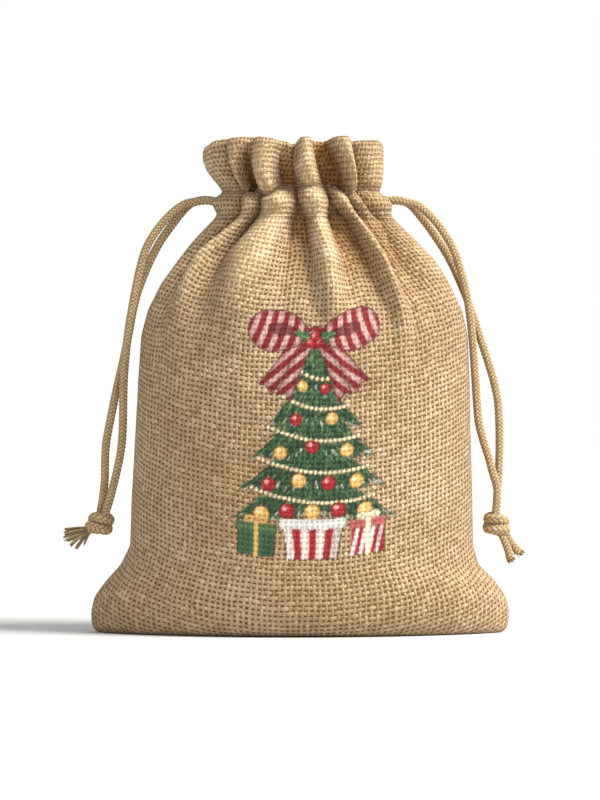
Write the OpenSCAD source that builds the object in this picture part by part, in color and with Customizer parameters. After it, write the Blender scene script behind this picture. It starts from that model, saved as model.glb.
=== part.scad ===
// Drawstring gift pouch in coarse woven cloth, filled and drawn closed, in millimetres.
// +Z is up, the front faces -Y, and the origin is the middle of the base on the surface it stands on.
// The cloth is a lofted shell whose sections gather into pleats at the neck. The two halves of the
// mouth part along Y, and each drawstring feeds back into the channel as they do.

/* [Pouch] */
// Width of the pouch laid flat
flat_w = 130; // [124:1:134]
// Height of the filled pouch, drawn closed
pouch_h = 153; // [150:1:160]
// Depth of the filled pouch
pouch_d = 60.8; // [56:0.4:64]
// Thickness of the cloth
cloth_t = 0.8; // [0.6:0.1:0.9]

/* [Mouth] */
// Height of the channel that holds the drawstrings
channel_h = 9.2; // [8.8:0.1:9.6]
// Height of the ruffle above the channel
ruffle_h = 16; // [14:0.5:17]
// Depth of the pleats at the neck, crest to mean line
pleat_depth = 2.9; // [2:0.1:3]

/* [Drawstrings] */
// Diameter of the braided cord
cord_d = 2.5; // [2:0.1:2.6]
// Width of the overhand knot that ties each cord's ends
knot_w = 8; // [7:0.2:9]
// Length of the frayed ends past the knot
tail_len = 9.5; // [7:0.5:11]

/* [Seams] */
// Width of the seam allowance turned inside
allowance_w = 6; // [4:0.5:8]
// Diameter of the sewing thread
thread_d = 0.5; // [0.3:0.1:0.6]

/* [Hidden] */
$fn = 32;

cloth_colour = "tan";
cord_colour = "peru";
thread_colour = "burlywood";

seam_gap = 0.1;    // between the two panels where they are sewn
mouth_gap = 0.6;   // between the two halves of the mouth, which move apart
level_gap = 0.3;   // between the panels and the channel above them
fold_gap = 0.1;    // between the channel and the ruffle above it
sew_gap = 0.05;    // between a stitch and the cloth that it lies on
pleat_steps = 8;   // mesh steps across one pleat
cord_sides = 8;
cord_r = cord_d / 2;

ruffle_z = pouch_h - ruffle_h;
channel_z = ruffle_z - channel_h;
channel_mid_z = channel_z + channel_h / 2;
panel_top_z = channel_z - level_gap;

// The pouch's sections from the bottom seam up: [height, half width, half depth, edge sharpness,
// pleat depth], as shares of panel_top_z, flat_w / 2, pouch_d / 2, 1 and pleat_depth.
// Edge sharpness is 0.5 for an oval and more where the side seam pinches the section to a point.
SECTIONS = [
    [0, 0.880, 0, 0.72, 0], [0, 0.905, 0.36, 0.72, 0], [0, 0.930, 0.66, 0.72, 0], [0, 0.950, 0.80, 0.72, 0],
    [0.006, 0.972, 0.87, 0.73, 0], [0.024, 0.987, 0.915, 0.74, 0], [0.053, 0.992, 0.945, 0.74, 0],
    [0.085, 0.980, 0.955, 0.72, 0], [0.118, 0.938, 0.965, 0.68, 0], [0.146, 0.874, 0.975, 0.62, 0],
    [0.173, 0.834, 0.98, 0.57, 0], [0.215, 0.816, 0.982, 0.52, 0], [0.31, 0.808, 0.986, 0.5, 0],
    [0.45, 0.794, 0.986, 0.5, 0], [0.6, 0.786, 0.965, 0.5, 0], [0.7, 0.789, 0.92, 0.5, 0.08],
    [0.76, 0.764, 0.87, 0.5, 0.22], [0.81, 0.722, 0.81, 0.5, 0.4], [0.856, 0.660, 0.74, 0.5, 0.58],
    [0.902, 0.588, 0.665, 0.5, 0.74], [0.943, 0.518, 0.59, 0.5, 0.87], [0.974, 0.458, 0.525, 0.5, 0.95],
    [1, 0.415, 0.47, 0.5, 1]
];
// The ruffle's sections: [height as a share of ruffle_h, half width, half depth, pleat depth share].
RUFFLE = [[0, 24, 12.2, 0.8], [0.2, 24.5, 12.6, 0.86], [0.45, 25.4, 13.4, 0.93], [0.75, 26.2, 14.4, 1], [1, 26.4, 15, 1]];
// Where the folds between pleats lie, in degrees round the neck. 180 and 360 are the side seams.
FRONT_FOLDS = [180, 224, 242, 265, 287, 305, 327, 360];
BACK_FOLDS = [0, 30, 52, 76, 101, 126, 152, 180];

// The channel runs round an oval through the middle of its cords.
channel_oval = [25.2, 13.4];
channel_bulge = 3.3;       // half its thickness between folds
channel_lobe = 0.7;        // how much the pleats add to that and take from it
cord_level = cord_r + 0.1; // each cord's height above or below the channel's middle
left_cord_z = channel_mid_z - cord_level;
right_cord_z = channel_mid_z + cord_level;

// Free strands, from the top of the arc that they make as they leave the channel down to the knot.
// Each is a list of [distance from the middle, depth, height], mirrored for the left side.
arc_x = 33;
arc_z = 133.4;
lead_x = 29.3;
exit_y = 1.4;
LEFT_FRONT = [
    [36, 1.5, 132.6], [39.6, 1.6, 130], [42.8, 1.7, 126.6], [45.6, 1.8, 122.8], [47.9, 1.8, 118.4],
    [49.6, 1.8, 112.6], [51, 1.8, 106], [52.1, 1.8, 100], [53.1, 1.8, 94], [54, 1.8, 86], [54.6, 1.7, 78],
    [54.8, 1.6, 70], [54.9, 1.5, 64], [55.3, 1.4, 58], [56.3, 1.4, 52], [57.7, 1.4, 46], [59, 1.4, 41], [60.6, 1.3, 36]
];
LEFT_BACK = [
    [35, 1.5, 132.2], [37.7, 1.6, 129.2], [40.6, 1.7, 125.4], [43.4, 1.7, 121.4], [45.8, 1.7, 117],
    [48.2, 1.7, 111.6], [50.4, 1.7, 105.8], [51.9, 1.7, 100], [53.4, 1.7, 92], [55, 1.7, 84], [56.4, 1.6, 78],
    [57.9, 1.5, 71], [59.3, 1.4, 64], [60.3, 1.4, 58], [60.6, 1.4, 52], [60.7, 1.4, 47], [61.2, 1.4, 42], [62.2, 1.3, 36]
];
RIGHT_FRONT = [
    [36.6, 1.5, 132.3], [39.9, 1.6, 129.6], [42.9, 1.7, 126.2], [45.6, 1.8, 122.2], [47.9, 1.8, 117.8],
    [49.6, 1.8, 112.8], [51, 1.8, 107.5], [52.2, 1.8, 101.5], [53, 1.8, 95.5], [53.6, 1.8, 89], [54.1, 1.8, 82],
    [54.5, 1.7, 76], [54.9, 1.6, 70], [55.4, 1.5, 65], [56.8, 1.4, 59.5], [58.5, 1.4, 54], [59.8, 1.4, 49.2],
    [61, 1.4, 45.2], [61.1, 1.4, 41.2], [60.6, 1.3, 36.8]
];
RIGHT_BACK = [
    [35.2, 1.5, 131.8], [38.2, 1.6, 128.2], [41.2, 1.7, 124.2], [44, 1.7, 120], [46.5, 1.7, 115.8],
    [48.9, 1.7, 110.8], [51.2, 1.7, 105.4], [53.2, 1.7, 100], [55, 1.7, 94.5], [56.8, 1.7, 89], [58.6, 1.6, 83.5],
    [60.3, 1.5, 77.5], [61.5, 1.4, 71.5], [61.9, 1.4, 65], [62, 1.4, 59], [61.9, 1.4, 53.5], [61.7, 1.4, 48.5],
    [61.3, 1.4, 43.5], [60.9, 1.3, 36.8]
];
// The knots' centres, and the points that their frayed ends reach towards.
LEFT_KNOT = [-61.8, 0, 33.8];
LEFT_TAIL = [-74, -1, 28];
RIGHT_KNOT = [60.6, 0, 34.8];
RIGHT_TAIL = [67.5, -1, 23];

// ---- Points on the cloth ----

// -1 in a fold and 1 on the crest of a pleat, for an angle between two of the folds.
function pleat_wave(angle, folds) = let (
    k = max([for (i = [0 : len(folds) - 2]) folds[i] <= angle ? i : 0]),
    share = (angle - folds[k]) / (folds[k + 1] - folds[k])
) -cos(360 * share);

// The angles at which a half of the pouch is meshed, with the same number of steps in each pleat.
function mesh_angles(folds) = [
    for (i = [0 : len(folds) - 2], j = [0 : pleat_steps - 1]) folds[i] + (folds[i + 1] - folds[i]) * j / pleat_steps,
    folds[len(folds) - 1]
];

// The direction out of an oval at an angle, level with the ground.
function oval_out(angle, a, b) = let (v = [cos(angle) * b, sin(angle) * a]) v / norm(v);

// A point of the cloth's middle surface: an oval or a pinched section, moved out or in by the pleats.
function cloth_point(angle, a, b, sharpness, z, pleat) = let (
    depth = b * pow(abs(sin(angle)), 2 * sharpness) * sign(sin(angle)),
    out = oval_out(angle, a, max(b, 1))
) [a * cos(angle) + pleat * out.x, depth + pleat * out.y, z];

function panel_grid(folds) = [
    for (s = SECTIONS) [
        for (angle = mesh_angles(folds))
            cloth_point(angle, s[1] * flat_w / 2, s[2] * pouch_d / 2, s[3], cloth_t / 2 + s[0] * (panel_top_z - cloth_t / 2),
                s[4] * pleat_depth * pleat_wave(angle, folds))
    ]
];

function ruffle_grid(folds) = [
    for (s = RUFFLE) [
        for (angle = mesh_angles(folds))
            cloth_point(angle, s[1], s[2], 0.5, ruffle_z + fold_gap + s[0] * (ruffle_h - fold_gap),
                s[3] * pleat_depth * pleat_wave(angle, folds))
    ]
];

// The unit vector out of a grid at row i, column j, from its neighbours. A level one ignores the slope.
function grid_out(grid, i, j, level) = let (
    rows = len(grid) - 1,
    columns = len(grid[0]) - 1,
    along = grid[i][min(j + 1, columns)] - grid[i][max(j - 1, 0)],
    up = level ? [0, 0, 1] : grid[min(i + 1, rows)][j] - grid[max(i - 1, 0)][j],
    v = cross(along, up)
) v / max(norm(v), 1e-9);

// Keeps a point on its own side of the seam plane: side is -1 for the front half and 1 for the back.
function on_side(p, side, gap) = [p.x, side * max(side * p.y, gap / 2), p.z];

// A grid moved out by a distance, trimmed to its own side, and above a floor.
function moved_grid(grid, distance, side, gap, floor_z, level = false) = [
    for (i = [0 : len(grid) - 1]) [
        for (j = [0 : len(grid[0]) - 1])
            let (p = on_side(grid[i][j] + distance * grid_out(grid, i, j, level), side, gap))
            [p.x, p.y, i == len(grid) - 1 && !level ? grid[i][j].z : max(p.z, floor_z)]
    ]
];

// ---- Solids from points ----

function grid_faces(rows, columns, first, flip) = [
    for (i = [0 : rows - 2], j = [0 : columns - 2])
        let (a = first + i * columns + j, b = a + 1, c = a + columns, d = c + 1)
        each flip ? [[a, c, b], [b, c, d]] : [[a, b, c], [b, d, c]]
];

// A strip of faces that joins two lists of point numbers.
function strip(one, two) = [
    for (i = [0 : len(one) - 2]) each [[one[i], two[i], one[i + 1]], [one[i + 1], two[i], two[i + 1]]]
];

// A closed sheet between an outer and an inner grid of the same size.
module sheet(outer, inner) {
    rows = len(outer);
    columns = len(outer[0]);
    n = rows * columns;
    bottom = [for (j = [0 : columns - 1]) j];
    top = [for (j = [0 : columns - 1]) (rows - 1) * columns + j];
    left = [for (i = [0 : rows - 1]) i * columns];
    right = [for (i = [0 : rows - 1]) i * columns + columns - 1];
    polyhedron(
        points = [for (grid = [outer, inner], row = grid) each row],
        faces = concat(
            grid_faces(rows, columns, 0, true),
            grid_faces(rows, columns, n, false),
            strip([for (k = bottom) k + n], bottom),
            strip(top, [for (k = top) k + n]),
            strip(left, [for (k = left) k + n]),
            strip([for (k = right) k + n], right)
        )
    );
}

// A solid swept through rings of the same number of points, closed at both ends.
module swept(rings) {
    sides = len(rings[0]);
    last = (len(rings) - 1) * sides;
    polyhedron(
        points = [for (ring = rings) each ring],
        faces = concat(
            [for (i = [0 : len(rings) - 2], j = [0 : sides - 1])
                let (a = i * sides + j, b = i * sides + (j + 1) % sides)
                each [[a, b, a + sides], [b, b + sides, a + sides]]],
            [for (j = [1 : sides - 2]) [0, j + 1, j]],
            [for (j = [1 : sides - 2]) [last, last + j, last + j + 1]]
        )
    );
}

// A tube swept through outer rings with a tunnel through the inner ones, open at both ends.
module swept_tunnel(outer, inner) {
    sides = len(outer[0]);
    n = len(outer) * sides;
    last = (len(outer) - 1) * sides;
    polyhedron(
        points = [for (rings = [outer, inner], ring = rings) each ring],
        faces = concat(
            [for (i = [0 : len(outer) - 2], j = [0 : sides - 1])
                let (a = i * sides + j, b = i * sides + (j + 1) % sides)
                each [[a, b, a + sides], [b, b + sides, a + sides],
                    [n + a, n + a + sides, n + b], [n + b, n + a + sides, n + b + sides]]],
            [for (j = [0 : sides - 1])
                let (b = (j + 1) % sides)
                each [[j, n + j, b], [b, n + j, n + b],
                    [last + j, last + b, n + last + j], [last + b, n + last + b, n + last + j]]]
        )
    );
}

// A round cord along a route of points.
module cord(route) {
    ends = len(route) - 1;
    swept([
        for (i = [0 : ends])
            let (
                v = route[min(i + 1, ends)] - route[max(i - 1, 0)],
                ahead = v / norm(v),
                side = cross(ahead, [0, 1, 0]) / norm(cross(ahead, [0, 1, 0])),
                up = cross(side, ahead)
            )
            [for (k = [0 : cord_sides - 1])
                route[i] + cord_r * (cos(360 * k / cord_sides) * side + sin(360 * k / cord_sides) * up)]
    ]);
}

// One stitch, a short length of thread between two points.
module stitch(from, to) {
    v = to - from;
    translate(from)
        rotate([0, acos(v.z / norm(v)), atan2(v.y, v.x)])
            cylinder(d = thread_d, h = norm(v));
}

// A barrel with two swellings, standing on its lower end about the vertical axis.
module barrel(width, height) {
    steps = 16;
    end_share = 0.62;     // its width at each end
    middle_share = 0.3;   // what the middle adds
    swelling_share = 0.08; // what the two swellings add
    rotate_extrude()
        polygon(concat(
            [[0, 0]],
            [for (i = [0 : steps]) let (
                share = i / steps,
                radius = end_share + middle_share * sin(180 * share) + swelling_share * abs(sin(360 * share))
            ) [width / 2 * radius, height * share]],
            [[0, height]]
        ));
}

// Turns what stands on +Z at the origin so that it stands at one point and reaches towards another.
module aimed(from, to) {
    v = to - from;
    translate(from) rotate([0, acos(v.z / norm(v)), atan2(v.y, v.x)]) children();
}

// ---- Cloth ----

module panel(folds, side) {
    grid = panel_grid(folds);
    color(cloth_colour)
        sheet(moved_grid(grid, cloth_t / 2, side, seam_gap, 0), moved_grid(grid, -cloth_t / 2, side, seam_gap, 0));
}

module ruffle(folds, side) {
    grid = ruffle_grid(folds);
    color(cloth_colour)
        sheet(moved_grid(grid, cloth_t, side, mouth_gap, 0, true), moved_grid(grid, -cloth_t, side, mouth_gap, 0, true));
}

// The middle of the side edge at a section, inside the cloth and clear of it.
function side_edge(s) = [
    s[1] * flat_w / 2 - s[4] * pleat_depth - 2 * cloth_t, 0, cloth_t / 2 + s[0] * (panel_top_z - cloth_t / 2)
];
SIDE_ROWS = [for (i = [6 : len(SECTIONS) - 2]) side_edge(SECTIONS[i])];

module side_seam_allowance(side) {
    t = cloth_t;
    color(cloth_colour)
        swept([
            for (p = SIDE_ROWS)
                [for (corner = side > 0 ? [[0, -t], [0, t], [-1, t], [-1, -t]] : [[0, t], [0, -t], [-1, -t], [-1, t]])
                    [side * (p.x + corner.x * allowance_w), corner.y, p.z]]
        ]);
}

module side_seam_stitching(side) {
    inset = allowance_w / 3;
    y = -cloth_t - thread_d / 2 - sew_gap;
    color(thread_colour)
        for (i = [4 : len(SIDE_ROWS) - 2], half = [0, 1]) {
            low = SIDE_ROWS[i] + (SIDE_ROWS[i + 1] - SIDE_ROWS[i]) * (half * 0.5 + 0.08);
            high = SIDE_ROWS[i] + (SIDE_ROWS[i + 1] - SIDE_ROWS[i]) * (half * 0.5 + 0.42);
            stitch([side * (low.x - inset), y, low.z], [side * (high.x - inset), y, high.z]);
        }
}

bottom_seam_x = 0.83 * flat_w / 2;
module bottom_seam_allowance() {
    color(cloth_colour)
        translate([-bottom_seam_x, -cloth_t, cloth_t + 0.2])
            cube([2 * bottom_seam_x, 2 * cloth_t, allowance_w]);
}

module bottom_seam_stitching() {
    pitch = 6;
    y = -cloth_t - thread_d / 2 - sew_gap;
    color(thread_colour)
        for (x = [-bottom_seam_x + 2 : pitch : bottom_seam_x - pitch])
            stitch([x, y, cloth_t + allowance_w / 3], [x + 0.7 * pitch, y, cloth_t + allowance_w / 3]);
}

// ---- Channel ----

// The channel's profile round its cords, moved in by a distance, at an angle round the neck.
function channel_ring(angle, folds, side, inset) = let (
    out = oval_out(angle, channel_oval.x, channel_oval.y),
    half_t = channel_bulge + channel_lobe * pleat_wave(angle, folds) - inset,
    half_h = channel_h / 2 - inset,
    points = 12
) [
    for (k = [0 : points - 1])
        let (n = half_t * cos(360 * k / points), p = [
            channel_oval.x * cos(angle) + n * out.x,
            channel_oval.y * sin(angle) + n * out.y,
            channel_mid_z + half_h * sin(360 * k / points)
        ])
        on_side(p, side, mouth_gap)
];

module channel(folds, side) {
    color(cloth_colour)
        swept_tunnel(
            [for (angle = mesh_angles(folds)) channel_ring(angle, folds, side, 0)],
            [for (angle = mesh_angles(folds)) channel_ring(angle, folds, side, cloth_t)]
        );
}

// The stretch of one drawstring that lies in one half of the channel.
module cord_run(z, side) {
    step = 7.5;
    end_angle = asin((mouth_gap / 2 + 0.2) / channel_oval.y);
    angles = [end_angle, for (a = [step : step : 180 - step]) a, 180 - end_angle];
    color(cord_colour)
        cord([for (a = angles) [channel_oval.x * cos(a), side * channel_oval.y * sin(a), z]]);
}

// Stitches round one half of the neck, lying on the cloth at a height and a distance out of the oval.
// Each pleat has two, either side of its crest, along one mesh step of the cloth.
module neck_stitching(folds, a, b, z, pleat, distance) {
    color(thread_colour)
        for (i = [0 : len(folds) - 2], first = [2, 5]) {
            angles = [for (j = [first, first + 1]) folds[i] + (folds[i + 1] - folds[i]) * j / pleat_steps];
            ends = [for (angle = angles) let (
                p = cloth_point(angle, a, b, 0.5, z, pleat * pleat_wave(angle, folds)),
                ahead = cloth_point(angle + 0.1, a, b, 0.5, z, pleat * pleat_wave(angle + 0.1, folds)),
                out = cross(ahead - p, [0, 0, 1])
            ) p + distance * out / norm(out)];
            stitch(ends[0], ends[1]);
        }
}

module upper_stitching(folds) {
    s = RUFFLE[1];
    neck_stitching(folds, s[1], s[2], ruffle_z + 0.2 * ruffle_h, s[3] * pleat_depth, cloth_t + thread_d / 2 + 6 * sew_gap);
}

module lower_stitching(folds) {
    drop = 0.8;
    share = sqrt(1 - drop * drop);
    neck_stitching(folds, channel_oval.x + share * channel_bulge, channel_oval.y + share * channel_bulge,
        channel_mid_z - drop * channel_h / 2, share * channel_lobe, thread_d / 2 + 10 * sew_gap);
}

// ---- Free cords ----

function placed(route, side, y_side) = [for (p = route) [side * p[0], y_side * p[1], p[2]]];

// The first few millimetres of both strands of a drawstring, from the channel to the top of their arc.
module cord_lead(side, exit_z) {
    color(cord_colour)
        for (y = [-exit_y, exit_y])
            cord([[side * lead_x, y, exit_z], [side * (lead_x + 1.6), y, (exit_z + 2 * arc_z) / 3],
                [side * (arc_x - 0.9), y, arc_z], [side * (arc_x - level_gap), y, arc_z]]);
}

module cord_strand(route, side, y_side) {
    color(cord_colour)
        cord(concat(
            [[side * arc_x, y_side * exit_y, arc_z], [side * (arc_x + 0.8), y_side * exit_y, arc_z]],
            placed(route, side, y_side)
        ));
}

knot_half = 0.45 * knot_w; // half the knot's length along the cord
module knot(centre, tail) {
    v = (tail - centre) / norm(tail - centre);
    color(cord_colour)
        aimed(centre - v * knot_half, tail) barrel(knot_w, 2 * knot_half);
}

module frayed_ends(centre, tail) {
    v = (tail - centre) / norm(tail - centre);
    color(cord_colour)
        aimed(centre + v * (knot_half + sew_gap), tail) cylinder(r1 = 1.5 * cord_r, r2 = 2.3 * cord_r, h = tail_len);
}

panel(FRONT_FOLDS, -1);  // front_panel
panel(BACK_FOLDS, 1);  // back_panel
side_seam_allowance(-1);  // left_seam_allowance
side_seam_allowance(1);  // right_seam_allowance
bottom_seam_allowance();
side_seam_stitching(-1);  // left_seam_stitching
side_seam_stitching(1);  // right_seam_stitching
bottom_seam_stitching();
channel(FRONT_FOLDS, -1);  // front_channel
ruffle(FRONT_FOLDS, -1);  // front_ruffle
upper_stitching(FRONT_FOLDS);  // front_upper_stitching
lower_stitching(FRONT_FOLDS);  // front_lower_stitching
channel(BACK_FOLDS, 1);  // back_channel
ruffle(BACK_FOLDS, 1);  // back_ruffle
upper_stitching(BACK_FOLDS);  // back_upper_stitching
lower_stitching(BACK_FOLDS);  // back_lower_stitching
cord_run(left_cord_z, -1);  // left_cord_front_run
cord_run(left_cord_z, 1);  // left_cord_back_run
cord_run(right_cord_z, -1);  // right_cord_front_run
cord_run(right_cord_z, 1);  // right_cord_back_run
cord_lead(-1, left_cord_z);  // left_cord_lead
cord_strand(LEFT_FRONT, -1, -1);  // left_cord_front_strand
cord_strand(LEFT_BACK, -1, 1);  // left_cord_back_strand
knot(LEFT_KNOT, LEFT_TAIL);  // left_knot
frayed_ends(LEFT_KNOT, LEFT_TAIL);  // left_frayed_ends
cord_lead(1, right_cord_z);  // right_cord_lead
cord_strand(RIGHT_FRONT, 1, -1);  // right_cord_front_strand
cord_strand(RIGHT_BACK, 1, 1);  // right_cord_back_strand
knot(RIGHT_KNOT, RIGHT_TAIL);  // right_knot
frayed_ends(RIGHT_KNOT, RIGHT_TAIL);  // right_frayed_ends
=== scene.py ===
"""The looks of a drawstring gift pouch: woven cloth, braided cords, stitches and a printed fir tree.

Lengths in the tables below are millimetres, as in the CAD model, and MM turns them into metres.
"""

import math

import bpy
import numpy as np
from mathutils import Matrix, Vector, noise


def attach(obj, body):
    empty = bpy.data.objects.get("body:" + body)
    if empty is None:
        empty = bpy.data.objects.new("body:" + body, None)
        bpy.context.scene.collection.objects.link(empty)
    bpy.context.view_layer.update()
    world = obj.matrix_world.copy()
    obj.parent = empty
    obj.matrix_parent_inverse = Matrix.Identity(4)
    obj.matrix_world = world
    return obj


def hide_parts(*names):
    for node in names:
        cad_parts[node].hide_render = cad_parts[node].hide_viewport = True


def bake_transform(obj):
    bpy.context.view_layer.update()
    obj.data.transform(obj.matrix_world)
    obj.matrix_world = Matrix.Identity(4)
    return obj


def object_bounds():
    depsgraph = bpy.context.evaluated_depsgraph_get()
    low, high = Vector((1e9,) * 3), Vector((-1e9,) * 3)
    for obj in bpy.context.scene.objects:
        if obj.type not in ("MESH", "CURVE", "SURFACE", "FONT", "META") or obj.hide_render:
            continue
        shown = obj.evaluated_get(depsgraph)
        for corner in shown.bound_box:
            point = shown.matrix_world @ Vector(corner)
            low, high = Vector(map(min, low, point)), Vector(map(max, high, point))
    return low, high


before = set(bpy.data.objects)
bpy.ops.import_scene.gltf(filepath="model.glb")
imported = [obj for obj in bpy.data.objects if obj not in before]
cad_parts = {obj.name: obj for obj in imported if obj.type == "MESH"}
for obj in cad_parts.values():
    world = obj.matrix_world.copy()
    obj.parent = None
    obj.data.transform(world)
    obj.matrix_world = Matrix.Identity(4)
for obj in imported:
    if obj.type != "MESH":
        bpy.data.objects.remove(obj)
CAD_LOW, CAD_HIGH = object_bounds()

MM = 0.001
POUCH_H = CAD_HIGH.z / MM

# ---------------------------------------------------------------- camera

CAMERA_AT = (0, -1000, 66)
CAMERA_AIM = (0, 0, 72)
CAMERA_LENS = 145


def link(name, data):
    obj = bpy.data.objects.new(name, data)
    bpy.context.scene.collection.objects.link(obj)
    return obj


def make_camera():
    camera = link("camera", bpy.data.cameras.new("camera"))
    camera.data.lens = CAMERA_LENS
    camera.data.sensor_width = 36
    camera.data.clip_start = 0.01
    camera.location = Vector(CAMERA_AT) * MM
    aim = Vector(CAMERA_AIM) - Vector(CAMERA_AT)
    camera.rotation_euler = aim.to_track_quat("-Z", "Y").to_euler()
    bpy.context.scene.camera = camera


make_camera()

# ---------------------------------------------------------------- points and meshes


def unit(vectors):
    length = np.linalg.norm(vectors, axis=-1, keepdims=True)
    return vectors / np.maximum(length, 1e-9)


def ramp(value, low, high):
    """0 at low and before it, 1 at high and after it, and in proportion between them."""
    return np.clip((value - low) / (high - low), 0, 1)


def distances(points):
    """The distance along a line of points to each of them."""
    return np.concatenate([[0], np.cumsum(np.linalg.norm(np.diff(points, axis=0), axis=1))])


def read_off(where, along, rows):
    """The rows' values at each place, where along is the place of each row."""
    return np.stack([np.interp(where, along, column) for column in np.transpose(rows)], axis=1)


def mesh_object(name, points, faces, attributes=None):
    """A smooth-shaded mesh of points in millimetres, with point attributes of 1, 2 or 3 numbers each."""
    mesh = bpy.data.meshes.new(name)
    mesh.from_pydata((np.asarray(points) * MM).tolist(), [], faces)
    for key, values in (attributes or {}).items():
        values = np.asarray(values, np.float32)
        if values.ndim == 1:
            mesh.attributes.new(key, "FLOAT", "POINT").data.foreach_set("value", values)
        else:
            mesh.attributes.new(key, "FLOAT_VECTOR", "POINT").data.foreach_set("vector", values.ravel())
    mesh.shade_smooth()
    return link(name, mesh)


def grid_faces(rows, columns, closed=False):
    """The quads of a grid of points, joined round when it is closed."""
    faces = []
    for i in range(rows - 1):
        for j in range(columns if closed else columns - 1):
            a, b = i * columns + j, i * columns + (j + 1) % columns
            faces.append((a, b, b + columns, a + columns))
    return faces


def smooth_route(points, step):
    """Points a fixed step apart along a smooth curve through the given ones."""
    p = np.asarray(points, float)
    p = np.vstack([2 * p[0] - p[1], p, 2 * p[-1] - p[-2]])
    t = np.linspace(0, 1, 24, endpoint=False)[:, None]
    pieces = []
    for a, b, c, d in zip(p, p[1:], p[2:], p[3:]):
        square, cube = 2 * a - 5 * b + 4 * c - d, 3 * b - a - 3 * c + d
        pieces.append(0.5 * (2 * b + (c - a) * t + square * t**2 + cube * t**3))
    dense = np.vstack(pieces + [p[-2:-1]])
    along = distances(dense)
    where = np.linspace(0, along[-1], max(2, round(along[-1] / step) + 1))
    return read_off(where, along, dense)


def frames_along(path):
    """Two unit vectors across a path at each of its points, carried along it without twisting."""
    ahead = unit(np.gradient(path, axis=0))
    side = np.zeros_like(path)
    first = np.cross(ahead[0], (0, 1, 0) if abs(ahead[0][1]) < 0.9 else (1, 0, 0))
    side[0] = first / np.linalg.norm(first)
    for i in range(1, len(path)):
        v = side[i - 1] - ahead[i] * np.dot(side[i - 1], ahead[i])
        side[i] = v / np.linalg.norm(v)
    return side, np.cross(ahead, side)


def tube(path, radius, sides=8, relief=None, close=True):
    """(points, faces, lay) of a tube round a path. radius is one number or one for each point, and
    relief(turns, distance) adds to it. lay is the cosine and sine of each point's turn round the tube
    and its distance along it, in millimetres."""
    side, up = frames_along(path)
    count = len(path)
    radius = np.broadcast_to(np.asarray(radius, float), (count,))[:, None]
    along = distances(path)
    turns, distance = np.meshgrid(np.arange(sides) / sides, along)
    r = (radius + (relief(turns, distance) if relief else 0))[..., None]
    c, s = np.cos(2 * np.pi * turns), np.sin(2 * np.pi * turns)
    outward = c[..., None] * side[:, None] + s[..., None] * up[:, None]
    points = (path[:, None] + r * outward).reshape(-1, 3)
    faces = grid_faces(count, sides, closed=True)
    lay = np.stack([c.ravel(), s.ravel(), distance.ravel()], axis=1)
    if close:
        first, last, ring = len(points), len(points) + 1, (count - 1) * sides
        points = np.vstack([points, path[0], path[-1]])
        lay = np.vstack([lay, [1, 0, 0], [1, 0, along[-1]]])
        faces += [((j + 1) % sides, j, first) for j in range(sides)]
        faces += [(ring + j, ring + (j + 1) % sides, last) for j in range(sides)]
    return points, faces, lay


def joined(name, parts):
    """One mesh object from several tubes."""
    faces, first = [], 0
    for points, own, _ in parts:
        faces += [tuple(k + first for k in face) for face in own]
        first += len(points)
    lay = np.vstack([part[2] for part in parts])
    return mesh_object(name, np.vstack([part[0] for part in parts]), faces, {"lay": lay})


# ---------------------------------------------------------------- cords

CORD_D = 2.5
CORD_R = CORD_D / 2
BRAID_PAIRS = 6       # strands of the braid that run each way round
BRAID_LENGTH = 7.2    # distance along the cord in which a strand goes once round
CORD_STEP = 0.3
CORD_SIDES = 36

CHANNEL_MID_Z = 132.4
LEFT_CORD_Z = CHANNEL_MID_Z - CORD_R - 0.1
RIGHT_CORD_Z = CHANNEL_MID_Z + CORD_R + 0.1
RUN_OVAL = (24.2, 9.2)   # the cords' path in the channel, drawn in by the gathers
PIVOT_X = 27
ARC_X, ARC_Z = 33, 133.4
EXIT_Y = 1.27            # a little nearer the seam plane than in the CAD model, so the eyelets stay closed

# The free strands' routes, as in the CAD model: distance from the middle, depth and height.
LEFT_FRONT = [
    (36, 1.5, 132.6), (39.6, 1.6, 130), (42.8, 1.7, 126.6), (45.6, 1.8, 122.8), (47.9, 1.8, 118.4),
    (49.6, 1.8, 112.6), (51, 1.8, 106), (52.1, 1.8, 100), (53.1, 1.8, 94), (54, 1.8, 86), (54.6, 1.7, 78),
    (54.8, 1.6, 70), (54.9, 1.5, 64), (55.3, 1.4, 58), (56.3, 1.4, 52), (57.7, 1.4, 46), (59, 1.4, 41),
    (60.6, 1.3, 36),
]
LEFT_BACK = [
    (35, 1.5, 132.2), (37.7, 1.6, 129.2), (40.6, 1.7, 125.4), (43.4, 1.7, 121.4), (45.8, 1.7, 117),
    (48.2, 1.7, 111.6), (50.4, 1.7, 105.8), (51.9, 1.7, 100), (53.4, 1.7, 92), (55, 1.7, 84),
    (56.4, 1.6, 78), (57.9, 1.5, 71), (59.3, 1.4, 64), (60.3, 1.4, 58), (60.6, 1.4, 52), (60.7, 1.4, 47),
    (61.2, 1.4, 42), (62.2, 1.3, 36),
]
RIGHT_FRONT = [
    (36.6, 1.5, 132.3), (39.9, 1.6, 129.6), (42.9, 1.7, 126.2), (45.6, 1.8, 122.2), (47.9, 1.8, 117.8),
    (49.6, 1.8, 112.8), (51, 1.8, 107.5), (52.2, 1.8, 101.5), (53, 1.8, 95.5), (53.6, 1.8, 89),
    (54.1, 1.8, 82), (54.5, 1.7, 76), (54.9, 1.6, 70), (55.4, 1.5, 65), (56.8, 1.4, 59.5), (58.5, 1.4, 54),
    (59.8, 1.4, 49.2), (61, 1.4, 45.2), (61.1, 1.4, 41.2), (60.6, 1.3, 36.8),
]
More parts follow.
